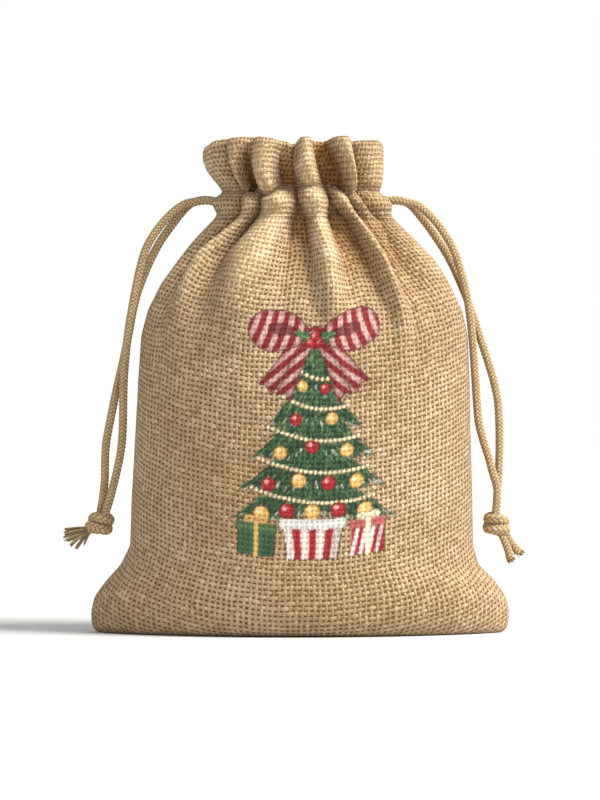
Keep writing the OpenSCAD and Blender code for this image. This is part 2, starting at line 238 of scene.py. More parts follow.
RIGHT_BACK = [
    (35.2, 1.5, 131.8), (38.2, 1.6, 128.2), (41.2, 1.7, 124.2), (44, 1.7, 120), (46.5, 1.7, 115.8),
    (48.9, 1.7, 110.8), (51.2, 1.7, 105.4), (53.2, 1.7, 100), (55, 1.7, 94.5), (56.8, 1.7, 89),
    (58.6, 1.6, 83.5), (60.3, 1.5, 77.5), (61.5, 1.4, 71.5), (61.9, 1.4, 65), (62, 1.4, 59),
    (61.9, 1.4, 53.5), (61.7, 1.4, 48.5), (61.3, 1.4, 43.5), (60.9, 1.3, 36.8),
]
LEFT_KNOT, RIGHT_KNOT = (-62.1, 0, 33.7), (61, 0, 33.4)
RIGHT_KNOT_TURN = -17    # degrees


def braid(turns, distance):
    """The relief of a round braid, in which each strand passes over two others and then under two."""
    one = BRAID_PAIRS * (turns + distance / BRAID_LENGTH)
    two = BRAID_PAIRS * (turns - distance / BRAID_LENGTH)
    heights = []
    for across, along, first in ((one, two, 0), (two, one, 2)):
        over = np.sin(np.pi / 2 * (along + np.floor(across) - first))
        heights.append(np.abs(np.sin(np.pi * across)) ** 0.6 + 0.7 * over)
    return 0.18 * (np.maximum(*heights) - 1.2)


def strand_route(route, side, y_side):
    """A free strand's whole route, from inside the channel to its knot."""
    inside = [(22.5, 4.4, 132.6), (25, 2.4, 133.2), (27.3, EXIT_Y, 133.8)]
    outside = [(30, EXIT_Y, 134), (ARC_X, EXIT_Y, ARC_Z)]
    return [(side * x, y_side * y, z) for x, y, z in inside + outside + route]


def make_strand(name, route, side, y_side):
    """One free strand in two pieces: its first millimetres and the rest."""
    path = smooth_route(strand_route(route, side, y_side), CORD_STEP)
    cut = int(np.argmin(np.linalg.norm(path - (side * ARC_X, y_side * EXIT_Y, ARC_Z), axis=1)))
    points, _, lay = tube(path, CORD_R, CORD_SIDES, braid, close=False)
    pieces = []
    for label, first, last in (("root", 0, cut), ("strand", cut, len(path) - 1)):
        chosen = slice(first * CORD_SIDES, (last + 1) * CORD_SIDES)
        quads = grid_faces(last + 1 - first, CORD_SIDES, closed=True)
        pieces.append(mesh_object(f"{name}_{label}", points[chosen], quads, {"lay": lay[chosen]}))
    return *pieces, path[cut:]


# The two strands through the left overhand knot, from where they go in at the top to where they come out
# at the lower left: right, up and towards the viewer from its middle. The right knot is its mirror image.
KNOT_LOW = [
    (1.3, 0.9, 0.4), (1.2, -0.6, -0.6), (0.6, -1.9, -1.5), (-1.2, -1.9, -1.8), (-2.6, -1.3, -1.0),
    (-3.1, -0.6, 0.3), (-2.1, -0.9, 1.6), (-0.3, -1.4, 2.2), (1.4, -1.9, 1.7), (2.4, -1.8, 0.2),
    (2.2, -0.6, -1.5), (0.8, 0.6, -2.2), (-0.6, 0.4, -1.4), (-1.2, -0.8, -0.2), (-2.3, -1.7, 0.4),
    (-3.7, -2.5, 0.6),
]
KNOT_HIGH = [
    (0, 0.9, -1.2), (0, -0.4, -1.9), (-0.8, -0.3, -2.4), (-2.0, 0.4, -1.9), (-2.3, 1.4, -0.8),
    (-1.8, 1.9, 0.4), (-0.9, 2.0, 1.6), (0.5, 1.7, 2.2), (2.2, 1.2, 1.6), (3.0, 0.9, 0.0), (2.6, 1.6, -1.4),
    (1.2, 2.2, -1.9), (-0.6, 1.9, -1.6), (-1.3, 0.6, -0.5), (-1.8, -0.8, -0.3), (-2.4, -1.7, -0.6),
    (-3.6, -2.4, -0.6),
]
# The strands' radius by their share of the way through the knot: they flatten where they wrap round it.
KNOT_R = ((0, 0.06, 0.2, 0.35, 0.65, 0.85, 1), (1.15, 1.25, 1.3, 1.55, 1.55, 1.25, 1.1))


def make_knot(name, centre, hand, turn, strand_ends):
    """A tight overhand knot in both strands of a drawstring, turned in the picture plane."""
    c, s = math.cos(math.radians(turn)), math.sin(math.radians(turn))
    parts = []
    for route, end in zip((KNOT_LOW, KNOT_HIGH), strand_ends):
        x, z, y = np.transpose(route) * [[hand], [1], [-1]]
        inside = np.asarray(centre) + np.stack([x * c - z * s, y, x * s + z * c], axis=1)
        path = smooth_route([end + (0, 0, 0.5), end, *inside], CORD_STEP)
        radius = np.interp(np.linspace(0, 1, len(path)), *KNOT_R)
        parts.append(tube(path, radius, CORD_SIDES, braid))
    return joined(name, parts)


def loose_yarns(root, tips, rng, radius):
    """Yarns that fan out from about one place to their tips, each slightly bent."""
    parts = []
    for tip in tips:
        start = np.asarray(root) + rng.normal(0, 0.3, 3)
        middle = (start + tip) / 2 + rng.normal(0, 0.12, 3) + (0, 0, 0.35)
        path = smooth_route([start, middle, tip], 0.3)
        taper = np.interp(np.linspace(0, 1, len(path)), [0, 0.8, 1], [0.9, 1.1, 0.8])
        parts.append(tube(path, radius * rng.uniform(0.8, 1.15) * taper, 8))
    return parts


# The left drawstring's loose yarns: each one's angle below level and its length.
LEFT_YARNS_FROM = (-64.6, 0, 31.8)
LEFT_YARNS = [
    (0, 8.4), (3, 8.7), (6, 8.7), (9, 8.9), (12, 9.0), (15, 8.9), (18, 9.0), (21, 8.9), (24, 8.9),
    (27, 8.6), (35.5, 8.6), (38, 8.4), (46.5, 7.7), (49, 7.4), (52, 7.8), (61, 5.6),
]
# The middle lines of the right drawstring's two short ends, and their radius by share of their length.
RIGHT_STUBS = [
    [(62.2, -0.7, 30.8), (62.9, -0.9, 29.3), (64.4, -1.0, 25.8), (65.4, -1.0, 22.7)],
    [(63.8, 0.5, 30.8), (64.5, 0.7, 29.6), (66, 0.8, 27.1), (68.2, 0.8, 24.6)],
]
STUB_R = ((0, 0.25, 0.7, 0.93, 1), (1.15, 1.1, 1.25, 1.45, 1.25))
STUB_YARNS, THICK_STUB_YARNS = 46, 20


def left_ends(rng):
    """The left drawstring's ends, come apart into a fan of yarns."""
    parts = []
    for thin, radius in ((0, 0.34), (1, 0.13), (1, 0.11), (1, 0.1)):
        tips = []
        for angle, reach in LEFT_YARNS:
            a = math.radians(angle + rng.normal(0, 0.8 + 1.6 * thin))
            reach *= rng.uniform(0.9, 1.01 + 0.06 * thin)
            side = rng.uniform(-1.5, 1.5)
            tips.append(LEFT_YARNS_FROM + np.array((-reach * math.cos(a), side, -reach * math.sin(a))))
        parts += loose_yarns(LEFT_YARNS_FROM, tips, rng, radius)
    return parts


def right_ends(rng):
    """The right drawstring's ends: two short lengths of braid, just beginning to come apart."""
    parts = []
    for stub in RIGHT_STUBS:
        path = smooth_route(stub, CORD_STEP)
        parts.append(tube(path, np.interp(np.linspace(0, 1, len(path)), *STUB_R), CORD_SIDES, braid))
        end = path[-1]
        ahead = unit(end - path[-6])
        across = np.cross(ahead, (0, 1, 0))
        for k in range(STUB_YARNS):
            turn, out = rng.uniform(0, 2 * math.pi), rng.uniform(0, 1.2)
            aside = out * (math.cos(turn) * across + math.sin(turn) * np.array((0, 1, 0)))
            start = end + aside - 0.9 * ahead
            shortest, longest, radius = (1.1, 1.7, 0.25) if k < THICK_STUB_YARNS else (1.3, 2.3, 0.1)
            length = rng.uniform(shortest, longest)
            yarn = smooth_route([start, start + ahead * length + aside * rng.uniform(0.1, 0.4)], 0.3)
            parts.append(tube(yarn, radius, 6))
    return parts


def cord_run(name, z, y_side):
    """The stretch of a drawstring that lies in one half of the channel."""
    angles = np.radians(np.linspace(5, 175, 60))
    oval = [(RUN_OVAL[0] * math.cos(a), y_side * RUN_OVAL[1] * math.sin(a), z) for a in angles]
    return joined(name, [tube(smooth_route(oval, 2 * CORD_STEP), CORD_R, 12)])


def make_cords():
    rng = np.random.default_rng(7)
    sides = (
        ("left", -1, LEFT_CORD_Z, LEFT_FRONT, LEFT_BACK, LEFT_KNOT, 0, left_ends),
        ("right", 1, RIGHT_CORD_Z, RIGHT_FRONT, RIGHT_BACK, RIGHT_KNOT, RIGHT_KNOT_TURN, right_ends),
    )
    made = []
    for name, side, run_z, front, back, centre, turn, make_ends in sides:
        lead, loop = f"{name}_lead", f"{name}_loop"
        pivot = (side * PIVOT_X * MM, 0, ARC_Z * MM)
        arc = (side * ARC_X * MM, 0, ARC_Z * MM)
        ends_at = [np.multiply(route[-1], (side, y_side, 1)) for route, y_side in ((front, -1), (back, 1))]
        knot = make_knot(f"{name}_knot_tied", centre, -side, turn, ends_at)
        ends = joined(f"{name}_ends_frayed", make_ends(rng))
        for piece, node in ((knot, "knot"), (ends, "frayed_ends")):
            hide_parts(f"{name}_{node}")
            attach(piece, loop)
        for label, route, y_side in (("front", front, -1), ("back", back, 1)):
            root, strand, path = make_strand(f"{name}_{label}", route, side, y_side)
            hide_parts(f"{name}_cord_lead")
            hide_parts(f"{name}_cord_{label}_strand")
            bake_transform(root)
            side * 50 * MM
            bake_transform(strand)
            run = cord_run(f"{name}_{label}_run", run_z, y_side)
            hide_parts(f"{name}_cord_{label}_run")
            half = "mouth_front" if y_side < 0 else "mouth_back"
            y_side * 12 * MM
            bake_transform(run)
            made += [root, strand, run]
        made += [knot, ends]
    return made


# ---------------------------------------------------------------- cloth

FLAT_W = 130          # each half of the pouch laid flat
YARN = 1.58           # distance between yarns
PLEAT_DEPTH = 4
EYELET_W, EYELET_H = 5.5, 4.4    # the openings that the cords come out of
CREASE_Z = 137        # the crease under the ruffle

# The body from the bottom seam up: height, left and right edge of the outline seen from the front,
# depth, edge sharpness (0.5 is an oval, more is pinched at the seam) and share of the pleats' depth.
BODY = [
    (0.0, -57.2, 57.2, 0, 0.74, 0), (0.0, -59.5, 59.5, 11, 0.74, 0), (0.0, -61.5, 61.5, 20, 0.74, 0),
    (0.2, -63, 63, 23.6, 0.74, 0), (1.4, -64.2, 64.2, 25.7, 0.74, 0), (3.4, -64.7, 64.7, 27.2, 0.74, 0),
    (6.5, -64.8, 64.8, 28.2, 0.73, 0), (11, -63.8, 64, 28.9, 0.7, 0), (16, -60.2, 60.5, 29.4, 0.66, 0),
    (21, -55.6, 55.4, 29.7, 0.61, 0), (27, -52.7, 53.7, 29.9, 0.55, 0), (41, -52.3, 53.5, 30, 0.5, 0),
    (60, -51.2, 52.9, 30, 0.5, 0.02), (78, -50.2, 52.6, 29.6, 0.5, 0.05),
    (92, -49.3, 52, 28.2, 0.5, 0.24), (100, -47.2, 50.3, 26.6, 0.5, 0.62),
    (108, -43.2, 45.8, 24, 0.5, 1.12), (115, -38.2, 41, 21.2, 0.5, 1.42),
    (121, -33.2, 35.6, 18.4, 0.5, 1.42), (125, -29.4, 31.8, 16.2, 0.5, 1.25),
    (128, -26.6, 29, 14.6, 0.5, 1),
]
# The neck, up its outside, over the folded rim and down its inside: height, left and right edge, depth,
# share of the channel's pleats, share of the ruffle's pleats, and how far inside the outer cloth it lies.
NECK = [
    (128, -26.6, 29, 14.6, 1, 0, 0), (129.6, -25.6, 27.9, 14.1, 1, 0, 0),
    (131.4, -26.6, 28.4, 14.8, 1, 0, 0), (133.6, -27.4, 28.2, 14.9, 1, 0, 0),
    (135.2, -26, 26.4, 13.6, 0.85, 0.05, 0), (136.4, -24.4, 24.6, 11.4, 0.5, 0.2, 0),
    (137.2, -24, 24.2, 10.9, 0.2, 0.5, 0), (138.4, -24.8, 24.6, 12.6, 0, 0.95, 0),
    (141, -26.6, 25, 13.8, 0, 1.1, 0), (145, -28.7, 25.3, 14.6, 0, 1.1, 0),
    (149, -29.7, 25.4, 15, 0, 1.05, 0), (151.8, -29.6, 25.3, 14.9, 0, 1, 0),
    (152.8, -29.5, 25.2, 14.8, 0, 1, 0.4), (153, -29.5, 25.2, 14.8, 0, 1, 1),
    (152.6, -29.5, 25.2, 14.8, 0, 1, 1.6), (150, -29.6, 25.3, 14.9, 0, 1, 1.9),
    (145, -28.7, 25.3, 14.6, 0, 1, 1.9), (140, -26, 25, 13.2, 0, 0.9, 1.8),
    (137.4, -24.4, 24.4, 11.6, 0.2, 0.4, 2.2), (134, -26.6, 27.6, 14.9, 0.3, 0, 8.4),
    (130, -26, 28, 14.4, 0.3, 0, 8), (128.4, -26.6, 29, 14.6, 0.6, 0, 4.5),
]
# The pleats, round the neck in degrees as seen from above: each table is the angles of the folds between
# them, the cloth's offset at each fold, and its offset at each pleat's crest. 180 and 360 are side seams.
FRONT_PLEATS = [
    (    # shoulder
        (180, 206, 228.5, 262.2, 273.2, 288.2, 301.4, 312.8, 320, 360),
        (0, -2.4, -2.6, -2.8, -3, -3, -3.6, -2.8, -2.4, 0),
        (0.2, 1.8, 2.6, -2.4, 2.2, -3, 2, -2.2, 1),
    ),
    (    # neck
        (180, 219, 236.2, 263.8, 271, 286.7, 299.8, 310.7, 330, 360),
        (0, -2.6, -3.2, -4.2, -4, -4, -3.6, -3, -1.8, 0),
        (0.8, 1.6, 3, -4, 2.6, -3.2, 1.8, -1.4, 0.7),
    ),
    (    # channel
        (180, 225, 241.3, 265.8, 268, 288.6, 290.8, 303.3, 314.7, 360),
        (0, -3, -3.4, -4.4, -4.4, -4.6, -4.4, -2.4, -3.2, 0),
        (0.6, 1.4, 3.2, -4.4, 2.8, -4.4, 2, 1, 0.8),
    ),
    (    # ruffle at the bottom
        (180, 219.7, 228.4, 235.7, 256.9, 267.7, 287.2, 305.9, 316.1, 360),
        (0, -2.6, -6, -6, -5.2, -5, -6.4, -6, -2.4, 0),
        (0.6, 1.6, -6.2, 3.4, -5, 3, -7, 3, 1.8),
    ),
    (    # ruffle at the top
        (180, 221.7, 240.5, 243.5, 262.6, 270.8, 284.2, 293.8, 312.9, 360),
        (0, -1, -0.8, -0.8, -1.2, -3, -5.6, -5.8, -2, 0),
        (1, 1.4, -0.8, 2.6, -1.6, 2.8, -6.4, 3.2, 1.4),
    ),
]
BACK_PLEATS = [
    (    # shoulder
        (0, 30, 52, 62, 94, 104, 126, 150, 180),
        (0, -2, -2.8, -3, -3.2, -3, -2.8, -2, 0),
        (0.2, 1.6, -2.4, 2.4, -2.6, 2.2, 1.6, 0.3),
    ),
    (    # neck
        (0, 40, 58, 66, 92, 100, 119, 138, 180),
        (0, -2.4, -3.6, -3.6, -4, -4, -3.4, -2.6, 0),
        (0.5, 1.6, -3, 2.8, -3.6, 2.6, 1.6, 0.6),
    ),
    (    # channel
        (0, 44, 61, 63, 92, 95, 117, 136, 180),
        (0, -2.8, -4, -4, -4.4, -4.4, -3.6, -2.8, 0),
        (0.6, 1.6, -4, 3, -4.4, 2.8, 1.6, 0.6),
    ),
    (    # ruffle at the bottom
        (0, 40, 55, 62, 84, 93, 113, 122, 139, 180),
        (0, -2.2, -4.8, -5, -4.8, -4.8, -5, -4.8, -2.2, 0),
        (0.8, 2, -4.2, 3, -3.8, 3.2, -4, 2.4, 0.8),
    ),
    (    # ruffle at the top
        (0, 38, 58, 63, 81, 89, 108, 117, 139, 180),
        (0, -1.8, -4.2, -4.4, -4.4, -4.4, -4.6, -4.4, -2, 0),
        (1.2, 2, -3.6, 2.8, -3.2, 3, -3.4, 2.6, 1),
    ),
]
# The height of the rim, and how far the crease under the ruffle lies from its mean height, by angle.
RIM = [
    (0, 151.5), (20, 152.4), (60, 152.8), (100, 152.2), (140, 152.6), (165, 150.6), (180, 148.4),
    (198, 150.4), (212, 151.9), (224, 152.4), (238, 152.7), (242, 152.5), (247, 152.7), (256, 152.3),
    (264, 151.6), (270, 150.6), (274, 152.6), (281, 152.8), (286, 152), (292, 151.9), (297, 153),
    (308, 153.1), (313, 151.9), (320, 152.2), (345, 152.5), (360, 151.5),
]
CREASE = [
    (0, 0), (180, -0.4), (225, 0), (233, -0.6), (247, -1.9), (258, 0.3), (268, 0.8), (287, 0.6),
    (298, 0), (308, -1.4), (318, 0), (360, -0.2),
]

PRINT_LEFT, PRINT_RIGHT = 40, 96     # the printed area, across the flat cloth from its left edge
PRINT_BOTTOM, PRINT_TOP = 46, 132    # and up it from the bottom seam


def along_keys(keys, step=0.2, blur=3.0):
    """A table's rows blended smoothly along its path of height and depth: (distance, values)."""
    keys = np.asarray(keys, float)
    inset = keys[:, -1] if keys.shape[1] == 7 else 0
    steps = np.hypot(np.diff(keys[:, 0]), np.diff(keys[:, 3] - inset))
    along = np.concatenate([[0], np.cumsum(steps)])
    where = np.arange(0, along[-1], step)
    values = read_off(where, along, keys)
    half = round(blur / step / 2)
    kernel = np.hanning(2 * half + 3)[1:-1]
    kernel /= kernel.sum()
    before = 2 * values[0] - values[half:0:-1]
    after = 2 * values[-1] - values[-2 : -half - 2 : -1]
    padded = np.vstack([before, values, after])
    blended = [np.convolve(column, kernel, "valid") for column in padded.T]
    return where, np.stack(blended, axis=1)


def pleats(angle, table, power):
    """The outward offset of rounded pleats with narrow folds between them; a higher power softens them."""
    folds, valleys, crests = (np.asarray(row, float) for row in table)
    k = np.clip(np.searchsorted(folds, angle, side="right") - 1, 0, len(folds) - 2)
    share = ramp(angle, folds[k], folds[k + 1])
    base = valleys[k] + (valleys[k + 1] - valleys[k]) * share
    return base + (crests[k] - base) * np.sin(np.pi * share) ** power


def smooth_between(table, where):
    """A table's value at each place, eased from each of its rows to the next."""
    at, value = (np.asarray(column, float) for column in zip(*table))
    k = np.clip(np.searchsorted(at, where, side="right") - 1, 0, len(at) - 2)
    share = ramp(where, at[k], at[k + 1])
    return value[k] + (value[k + 1] - value[k]) * share**2 * (3 - 2 * share)


def between(low, high, share):
    """A pleat table part of the way from one to another."""
    rows = ((np.asarray(a, float), np.asarray(b, float)) for a, b in zip(low, high))
    return tuple(a * (1 - share) + b * share for a, b in rows)


def cloth_grid(levels, fractions, side):
    """One half of the pouch, with a row for each level and a column for each share of the cloth's width:
    its points, their angles round the neck, and how far the pleats carry each one outwards."""
    shoulder, neck, channel, ruffle_low, ruffle_high = FRONT_PLEATS if side < 0 else BACK_PLEATS
    first = 180 if side < 0 else 0
    angle = np.linspace(first, first + 180, 1801)
    c, s = np.cos(np.radians(angle)), np.abs(np.sin(np.radians(angle)))
    grid, turned, carried = [], [], []
    for level in levels:
        z, left, right, depth = level[:4]
        sharp = level[4] if len(level) == 6 else 0.5
        low, high, inset = (level[5], 0, 0) if len(level) == 6 else level[4:7]
        half, centre = (right - left) / 2, (right + left) / 2
        power = np.interp(z, [100, 120, 132], [1.7, 0.85, 0.6])
        table = between(shoulder, neck, ramp(z, 117, 127.5))
        table = between(table, channel, ramp(z, 127.5, 132.5))
        wave = low * pleats(angle, table, power)
        if high:
            table = between(ruffle_low, ruffle_high, ramp(z, 138, 151) ** 1.6)
            wave = wave + high * pleats(angle, table, 0.6)
        out = unit(np.stack([c * max(depth, 1), side * s * half], axis=1))
        line = np.stack([centre + half * c, side * depth * s ** (2 * sharp)], axis=1) + out * wave[:, None]
        ahead = np.gradient(line, axis=0)
        inward = unit(np.stack([-ahead[:, 1], ahead[:, 0]], axis=1))
        inward[:, 1] *= ramp(6 * s, 0, 1)    # so that the inner plies meet at the side seams too
        moved = line + inset * inward
        step = np.diff(moved, axis=0)
        onward = np.where((step * np.diff(line, axis=0)).sum(axis=1) > 0, 1, 0.05)
        length = np.concatenate([[0], np.cumsum(np.linalg.norm(step, axis=1) * onward)])
        where = fractions * length[-1]
        grid.append(np.column_stack([read_off(where, length, moved), np.full(len(where), z)]))
        turned.append(np.interp(where, length, angle))
        carried.append(np.interp(where, length, wave))
    return np.array(grid), np.array(turned), np.array(carried)


def spaced(total, fine_from, fine_to, fine, coarse):
    """Distances from 0 to total, closer together between fine_from and fine_to."""
    stretches = ((0, fine_from, coarse), (fine_from, fine_to, fine), (fine_to, total, coarse))
    parts = []
    for a, b, step in stretches:
        if b > a:
            parts.append(np.linspace(a, b, max(1, round((b - a) / step)), endpoint=False))
    return np.concatenate(parts + [[total]])


def grid_normals(grid):
    return unit(np.cross(np.gradient(grid, axis=1), np.gradient(grid, axis=0)))


def roughened(grid, seed, fade):
    """The grid with the soft unevenness of filled cloth, faded out by a share for each point."""
    normals = grid_normals(grid)
    flat = grid.reshape(-1, 3)
    moves = np.zeros(len(flat))
    for size, height in ((34, 0.8), (13, 0.34), (5.5, 0.13)):
        offset = Vector((seed * 17.3, size, seed))
        moves += [height * noise.noise(Vector(p) / size + offset) for p in flat]
    return grid + normals * (moves.reshape(grid.shape[:2]) * fade)[..., None]


def on_side(grid, side, least=0):
    """The grid kept on its own side of the seam plane, and at least some distance from it."""
    grid[..., 1] = side * np.maximum(side * grid[..., 1], least)
    return grid


def cloth_piece(name, grid, u, v, carried=None, extra=None):
    """A cloth mesh whose attribute "weave" counts yarns across and up the flat cloth, with the share of a
    pleat's depth third: below 0 in a fold and above 0 on a crest, where the material paints shade and
    light."""
    rows, columns = grid.shape[:2]
    fold = np.zeros_like(u) if carried is None else np.clip(carried / PLEAT_DEPTH, -1.5, 1)
    weave = np.stack([u / YARN, v / YARN, fold], axis=-1).reshape(-1, 3)
    attributes = {"weave": weave, **(extra or {})}
    return mesh_object(name, grid.reshape(-1, 3), grid_faces(rows, columns), attributes)


def body_cloth(side):
    """One panel from the bottom seam to the channel: its grid and the flat cloth's coordinates on it."""
    where, values = along_keys(BODY)
    fine = 0.42 if side < 0 else 0.8    # the front's mesh carries the colours of the print
    rows = spaced(where[-1], PRINT_BOTTOM, PRINT_TOP, fine, 0.78)
    across = spaced(FLAT_W, PRINT_LEFT, PRINT_RIGHT, fine, 0.7) / FLAT_W
    grid, _, carried = cloth_grid(read_off(rows, where, values), across, side)
    height = grid[..., 2]
    edge = np.minimum(across, 1 - across)[None, :] * FLAT_W
    fade = ramp(height, 0, 9) * ramp(height, 127, 121) * ramp(edge, 0, 6)
    grid = on_side(roughened(grid, 2 + side, fade), side)
    up = np.linalg.norm(np.diff(grid, axis=0), axis=2)
    v = np.vstack([np.zeros(len(across)), np.cumsum(up, axis=0)])
    top = v[-1].mean()
    v *= 1 + (top / v[-1] - 1) * (v / v[-1]) ** 2
    u = np.broadcast_to(across * FLAT_W, v.shape)
    # The painted fold shade and crest light are weaker lower down, where the folds are open.
    return grid, u, v, carried * np.interp(height, (100, 126), (0.45, 1))    # the folds are open lower down


def eyelet(grid):
    """How far the cloth stands from the seam plane, to let each cord out at its own side of the channel."""
    cord_z = np.where(grid[..., 0] < 0, LEFT_CORD_Z, RIGHT_CORD_Z)
    return EYELET_W / 2 * np.clip(1 - ((grid[..., 2] - cord_z) / (EYELET_H / 2)) ** 2, 0, 1) ** 0.35


def neck_cloth(side, first_v):
    """The channel and the ruffle above it, as one cloth folded over the rim and down inside."""
    where, values = along_keys(NECK, blur=1.1)
    rows = spaced(where[-1], 0, 27, 0.4, 0.8)    # the first 27 mm are the outer ply
    across = spaced(FLAT_W, 0, FLAT_W, 0.45, 0.45) / FLAT_W
    grid, turned, carried = cloth_grid(read_off(rows, where, values), across, side)
    height = grid[..., 2]
    rim, crease = smooth_between(RIM, turned), smooth_between(CREASE, turned)
    at_crease = np.exp(-(((height - CREASE_Z) / 3) ** 2))
    grid[..., 2] += (rim - POUCH_H) * ramp(height, 139, 153) + crease * at_crease
    edge = np.minimum(across, 1 - across)[None, :] * FLAT_W
    inset = np.interp(rows, where, values[:, -1])[:, None]
    inside = inset > 0.9
    fade = ramp(height, 128, 132) * ramp(edge, 0, 5) * np.where(inside, 0, 1)
    grid = roughened(grid, 5 + side, fade)
    grid = on_side(grid, side, np.where(inside, 0, eyelet(grid)))
    # The inner ply's painted shade and light follow its own folds and crests.
    carried = carried * (1 - 2 * np.clip(inset, 0, 1))    # a fold outside is a crest on the inner ply
    v = first_v + np.broadcast_to(rows[:, None], height.shape)
    u = np.broadcast_to(across * FLAT_W, v.shape)
    return grid, u, v, carried


def allowance(name, axis, along, inward, x, z, u, v, gap, flare):
    """Both plies of a seam's allowance inside the pouch, as one wavy strip that folds over at the end of an
    axis of its grid. inward is the distance from the seam, and gap and flare part the plies."""
    plies = []
    for ply in (-1, 1):
        y = ply * (gap + flare * inward) + 0.3 * np.sin(along) * inward / 6
        plies.append(np.stack(np.broadcast_arrays(x, y, z, u, v), axis=-1))
    strip = np.concatenate([plies[0], np.flip(plies[1], axis)], axis=axis)
    return cloth_piece(name, strip[..., :3], strip[..., 3], strip[..., 4])


def seam_allowance(name, side):
    where, values = along_keys(BODY)
    rows = np.arange(38, where[-1] - 4, 1.0)[:, None]
    z, left, right = (np.interp(rows, where, values[:, k]) for k in range(3))
    inward = np.linspace(0.6, 6.4, 9)
    x = side * (right if side > 0 else -left) - side * inward
    return allowance(name, 1, rows / 5, inward, x, z, inward, rows, 0.35, 0.06)


def bottom_allowance(name):
    x = np.arange(-53, 53.5, 1.0)
    inward = np.linspace(0.7, 6.8, 9)[:, None]
    return allowance(name, 0, x / 6, inward, x, inward, x + FLAT_W / 2, inward, 0.3, 0.08)


# ---------------------------------------------------------------- stitches

THREAD_R = 0.2
UPPER_STITCHES_Z, LOWER_STITCHES_Z = 137.1, 129.5


def stitch_row(name, grid, u, at_z, pitch, share, skip):
    """A row of stitches along a cloth grid at a height. Each dips into the cloth at its ends."""
    row = int(np.argmax(grid[..., 2].mean(axis=1) >= at_z))
    line, out, across = grid[row], grid_normals(grid)[row], u[row]
    parts = []
    for start in np.arange(skip, FLAT_W - skip, pitch):
        where = np.linspace(start, start + pitch * share, 9)
        lift = THREAD_R * (1.5 * np.sin(np.linspace(0, np.pi, 9)) - 0.5)
        path = read_off(where, across, line) + lift[:, None] * read_off(where, across, out)
        parts.append(tube(path, THREAD_R, 8))
    return joined(name, parts)


def make_cloth():
    """Every cloth piece and its stitches, each in place of its CAD solid."""
    pieces, stitches = [], []
    for label, side in (("front", -1), ("back", 1)):
        grid, u, v, carried = body_cloth(side)
        panel = cloth_piece(f"{label}_cloth", grid, u, v, carried, printed(u, v) if side < 0 else None)
        seam_z = grid[-1, :, 2].mean()
        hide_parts(f"{label}_panel")
        direction = Vector((0, side / 12, 0.11))
        reach = direction / direction.length_squared
        seam_z * MM
        reach * MM + Vector((0, 0, seam_z * MM))
        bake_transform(panel)

        neck_grid, neck_u, neck_v, carried = neck_cloth(side, v[-1].mean())
        neck = cloth_piece(f"{label}_ruffle_cloth", neck_grid, neck_u, neck_v, carried)
        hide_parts(f"{label}_channel", f"{label}_ruffle")
        upper = stitch_row(f"{label}_upper_stitches", neck_grid, neck_u, UPPER_STITCHES_Z, 3.2, 0.6, 3)
        lower = stitch_row(f"{label}_lower_stitches", neck_grid, neck_u, LOWER_STITCHES_Z, 3.2, 0.6, 3)
        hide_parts(f"{label}_upper_stitching")
        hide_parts(f"{label}_lower_stitching")
        for piece in (neck, upper, lower):
            seam_z * MM
            seam_z * MM
            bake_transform(piece)
        pieces += [panel, neck]
        stitches += [upper, lower]
    for name, side in (("left", -1), ("right", 1)):
        strip = seam_allowance(f"{name}_allowance_cloth", side)
        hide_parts(f"{name}_seam_allowance")
        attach(strip, "pouch")
        pieces.append(strip)
    strip = bottom_allowance("bottom_allowance_cloth")
    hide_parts("bottom_seam_allowance")
    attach(strip, "pouch")
    pieces.append(strip)
    return pieces, stitches


# ---------------------------------------------------------------- the print

PRINT_DOTS = 7        # dots to the millimetre on the canvas that the print is painted on
PRINT_W, PRINT_H = 52, 80
PRINT_U, PRINT_V = 41.7, 48.5   # the print's lower left corner on the flat cloth

DARK_GREEN, MID_GREEN, LIGHT_GREEN = (0.016, 0.042, 0.026), (0.045, 0.115, 0.05), (0.20, 0.30, 0.11)
RED, DARK_RED, PALE_RED = (0.36, 0.018, 0.025), (0.13, 0.010, 0.016), (0.72, 0.36, 0.33)
STRIPE_RED, STRIPE_PALE = (0.24, 0.016, 0.022), (0.62, 0.38, 0.34)
GOLD, DARK_GOLD, PALE_GOLD = (0.72, 0.43, 0.13), (0.34, 0.16, 0.04), (0.93, 0.76, 0.42)
CREAM, SNOW, SHADE = (0.88, 0.78, 0.52), (0.82, 0.78, 0.73), (0.48, 0.42, 0.42)
OUTLINE = (0.035, 0.012, 0.012)


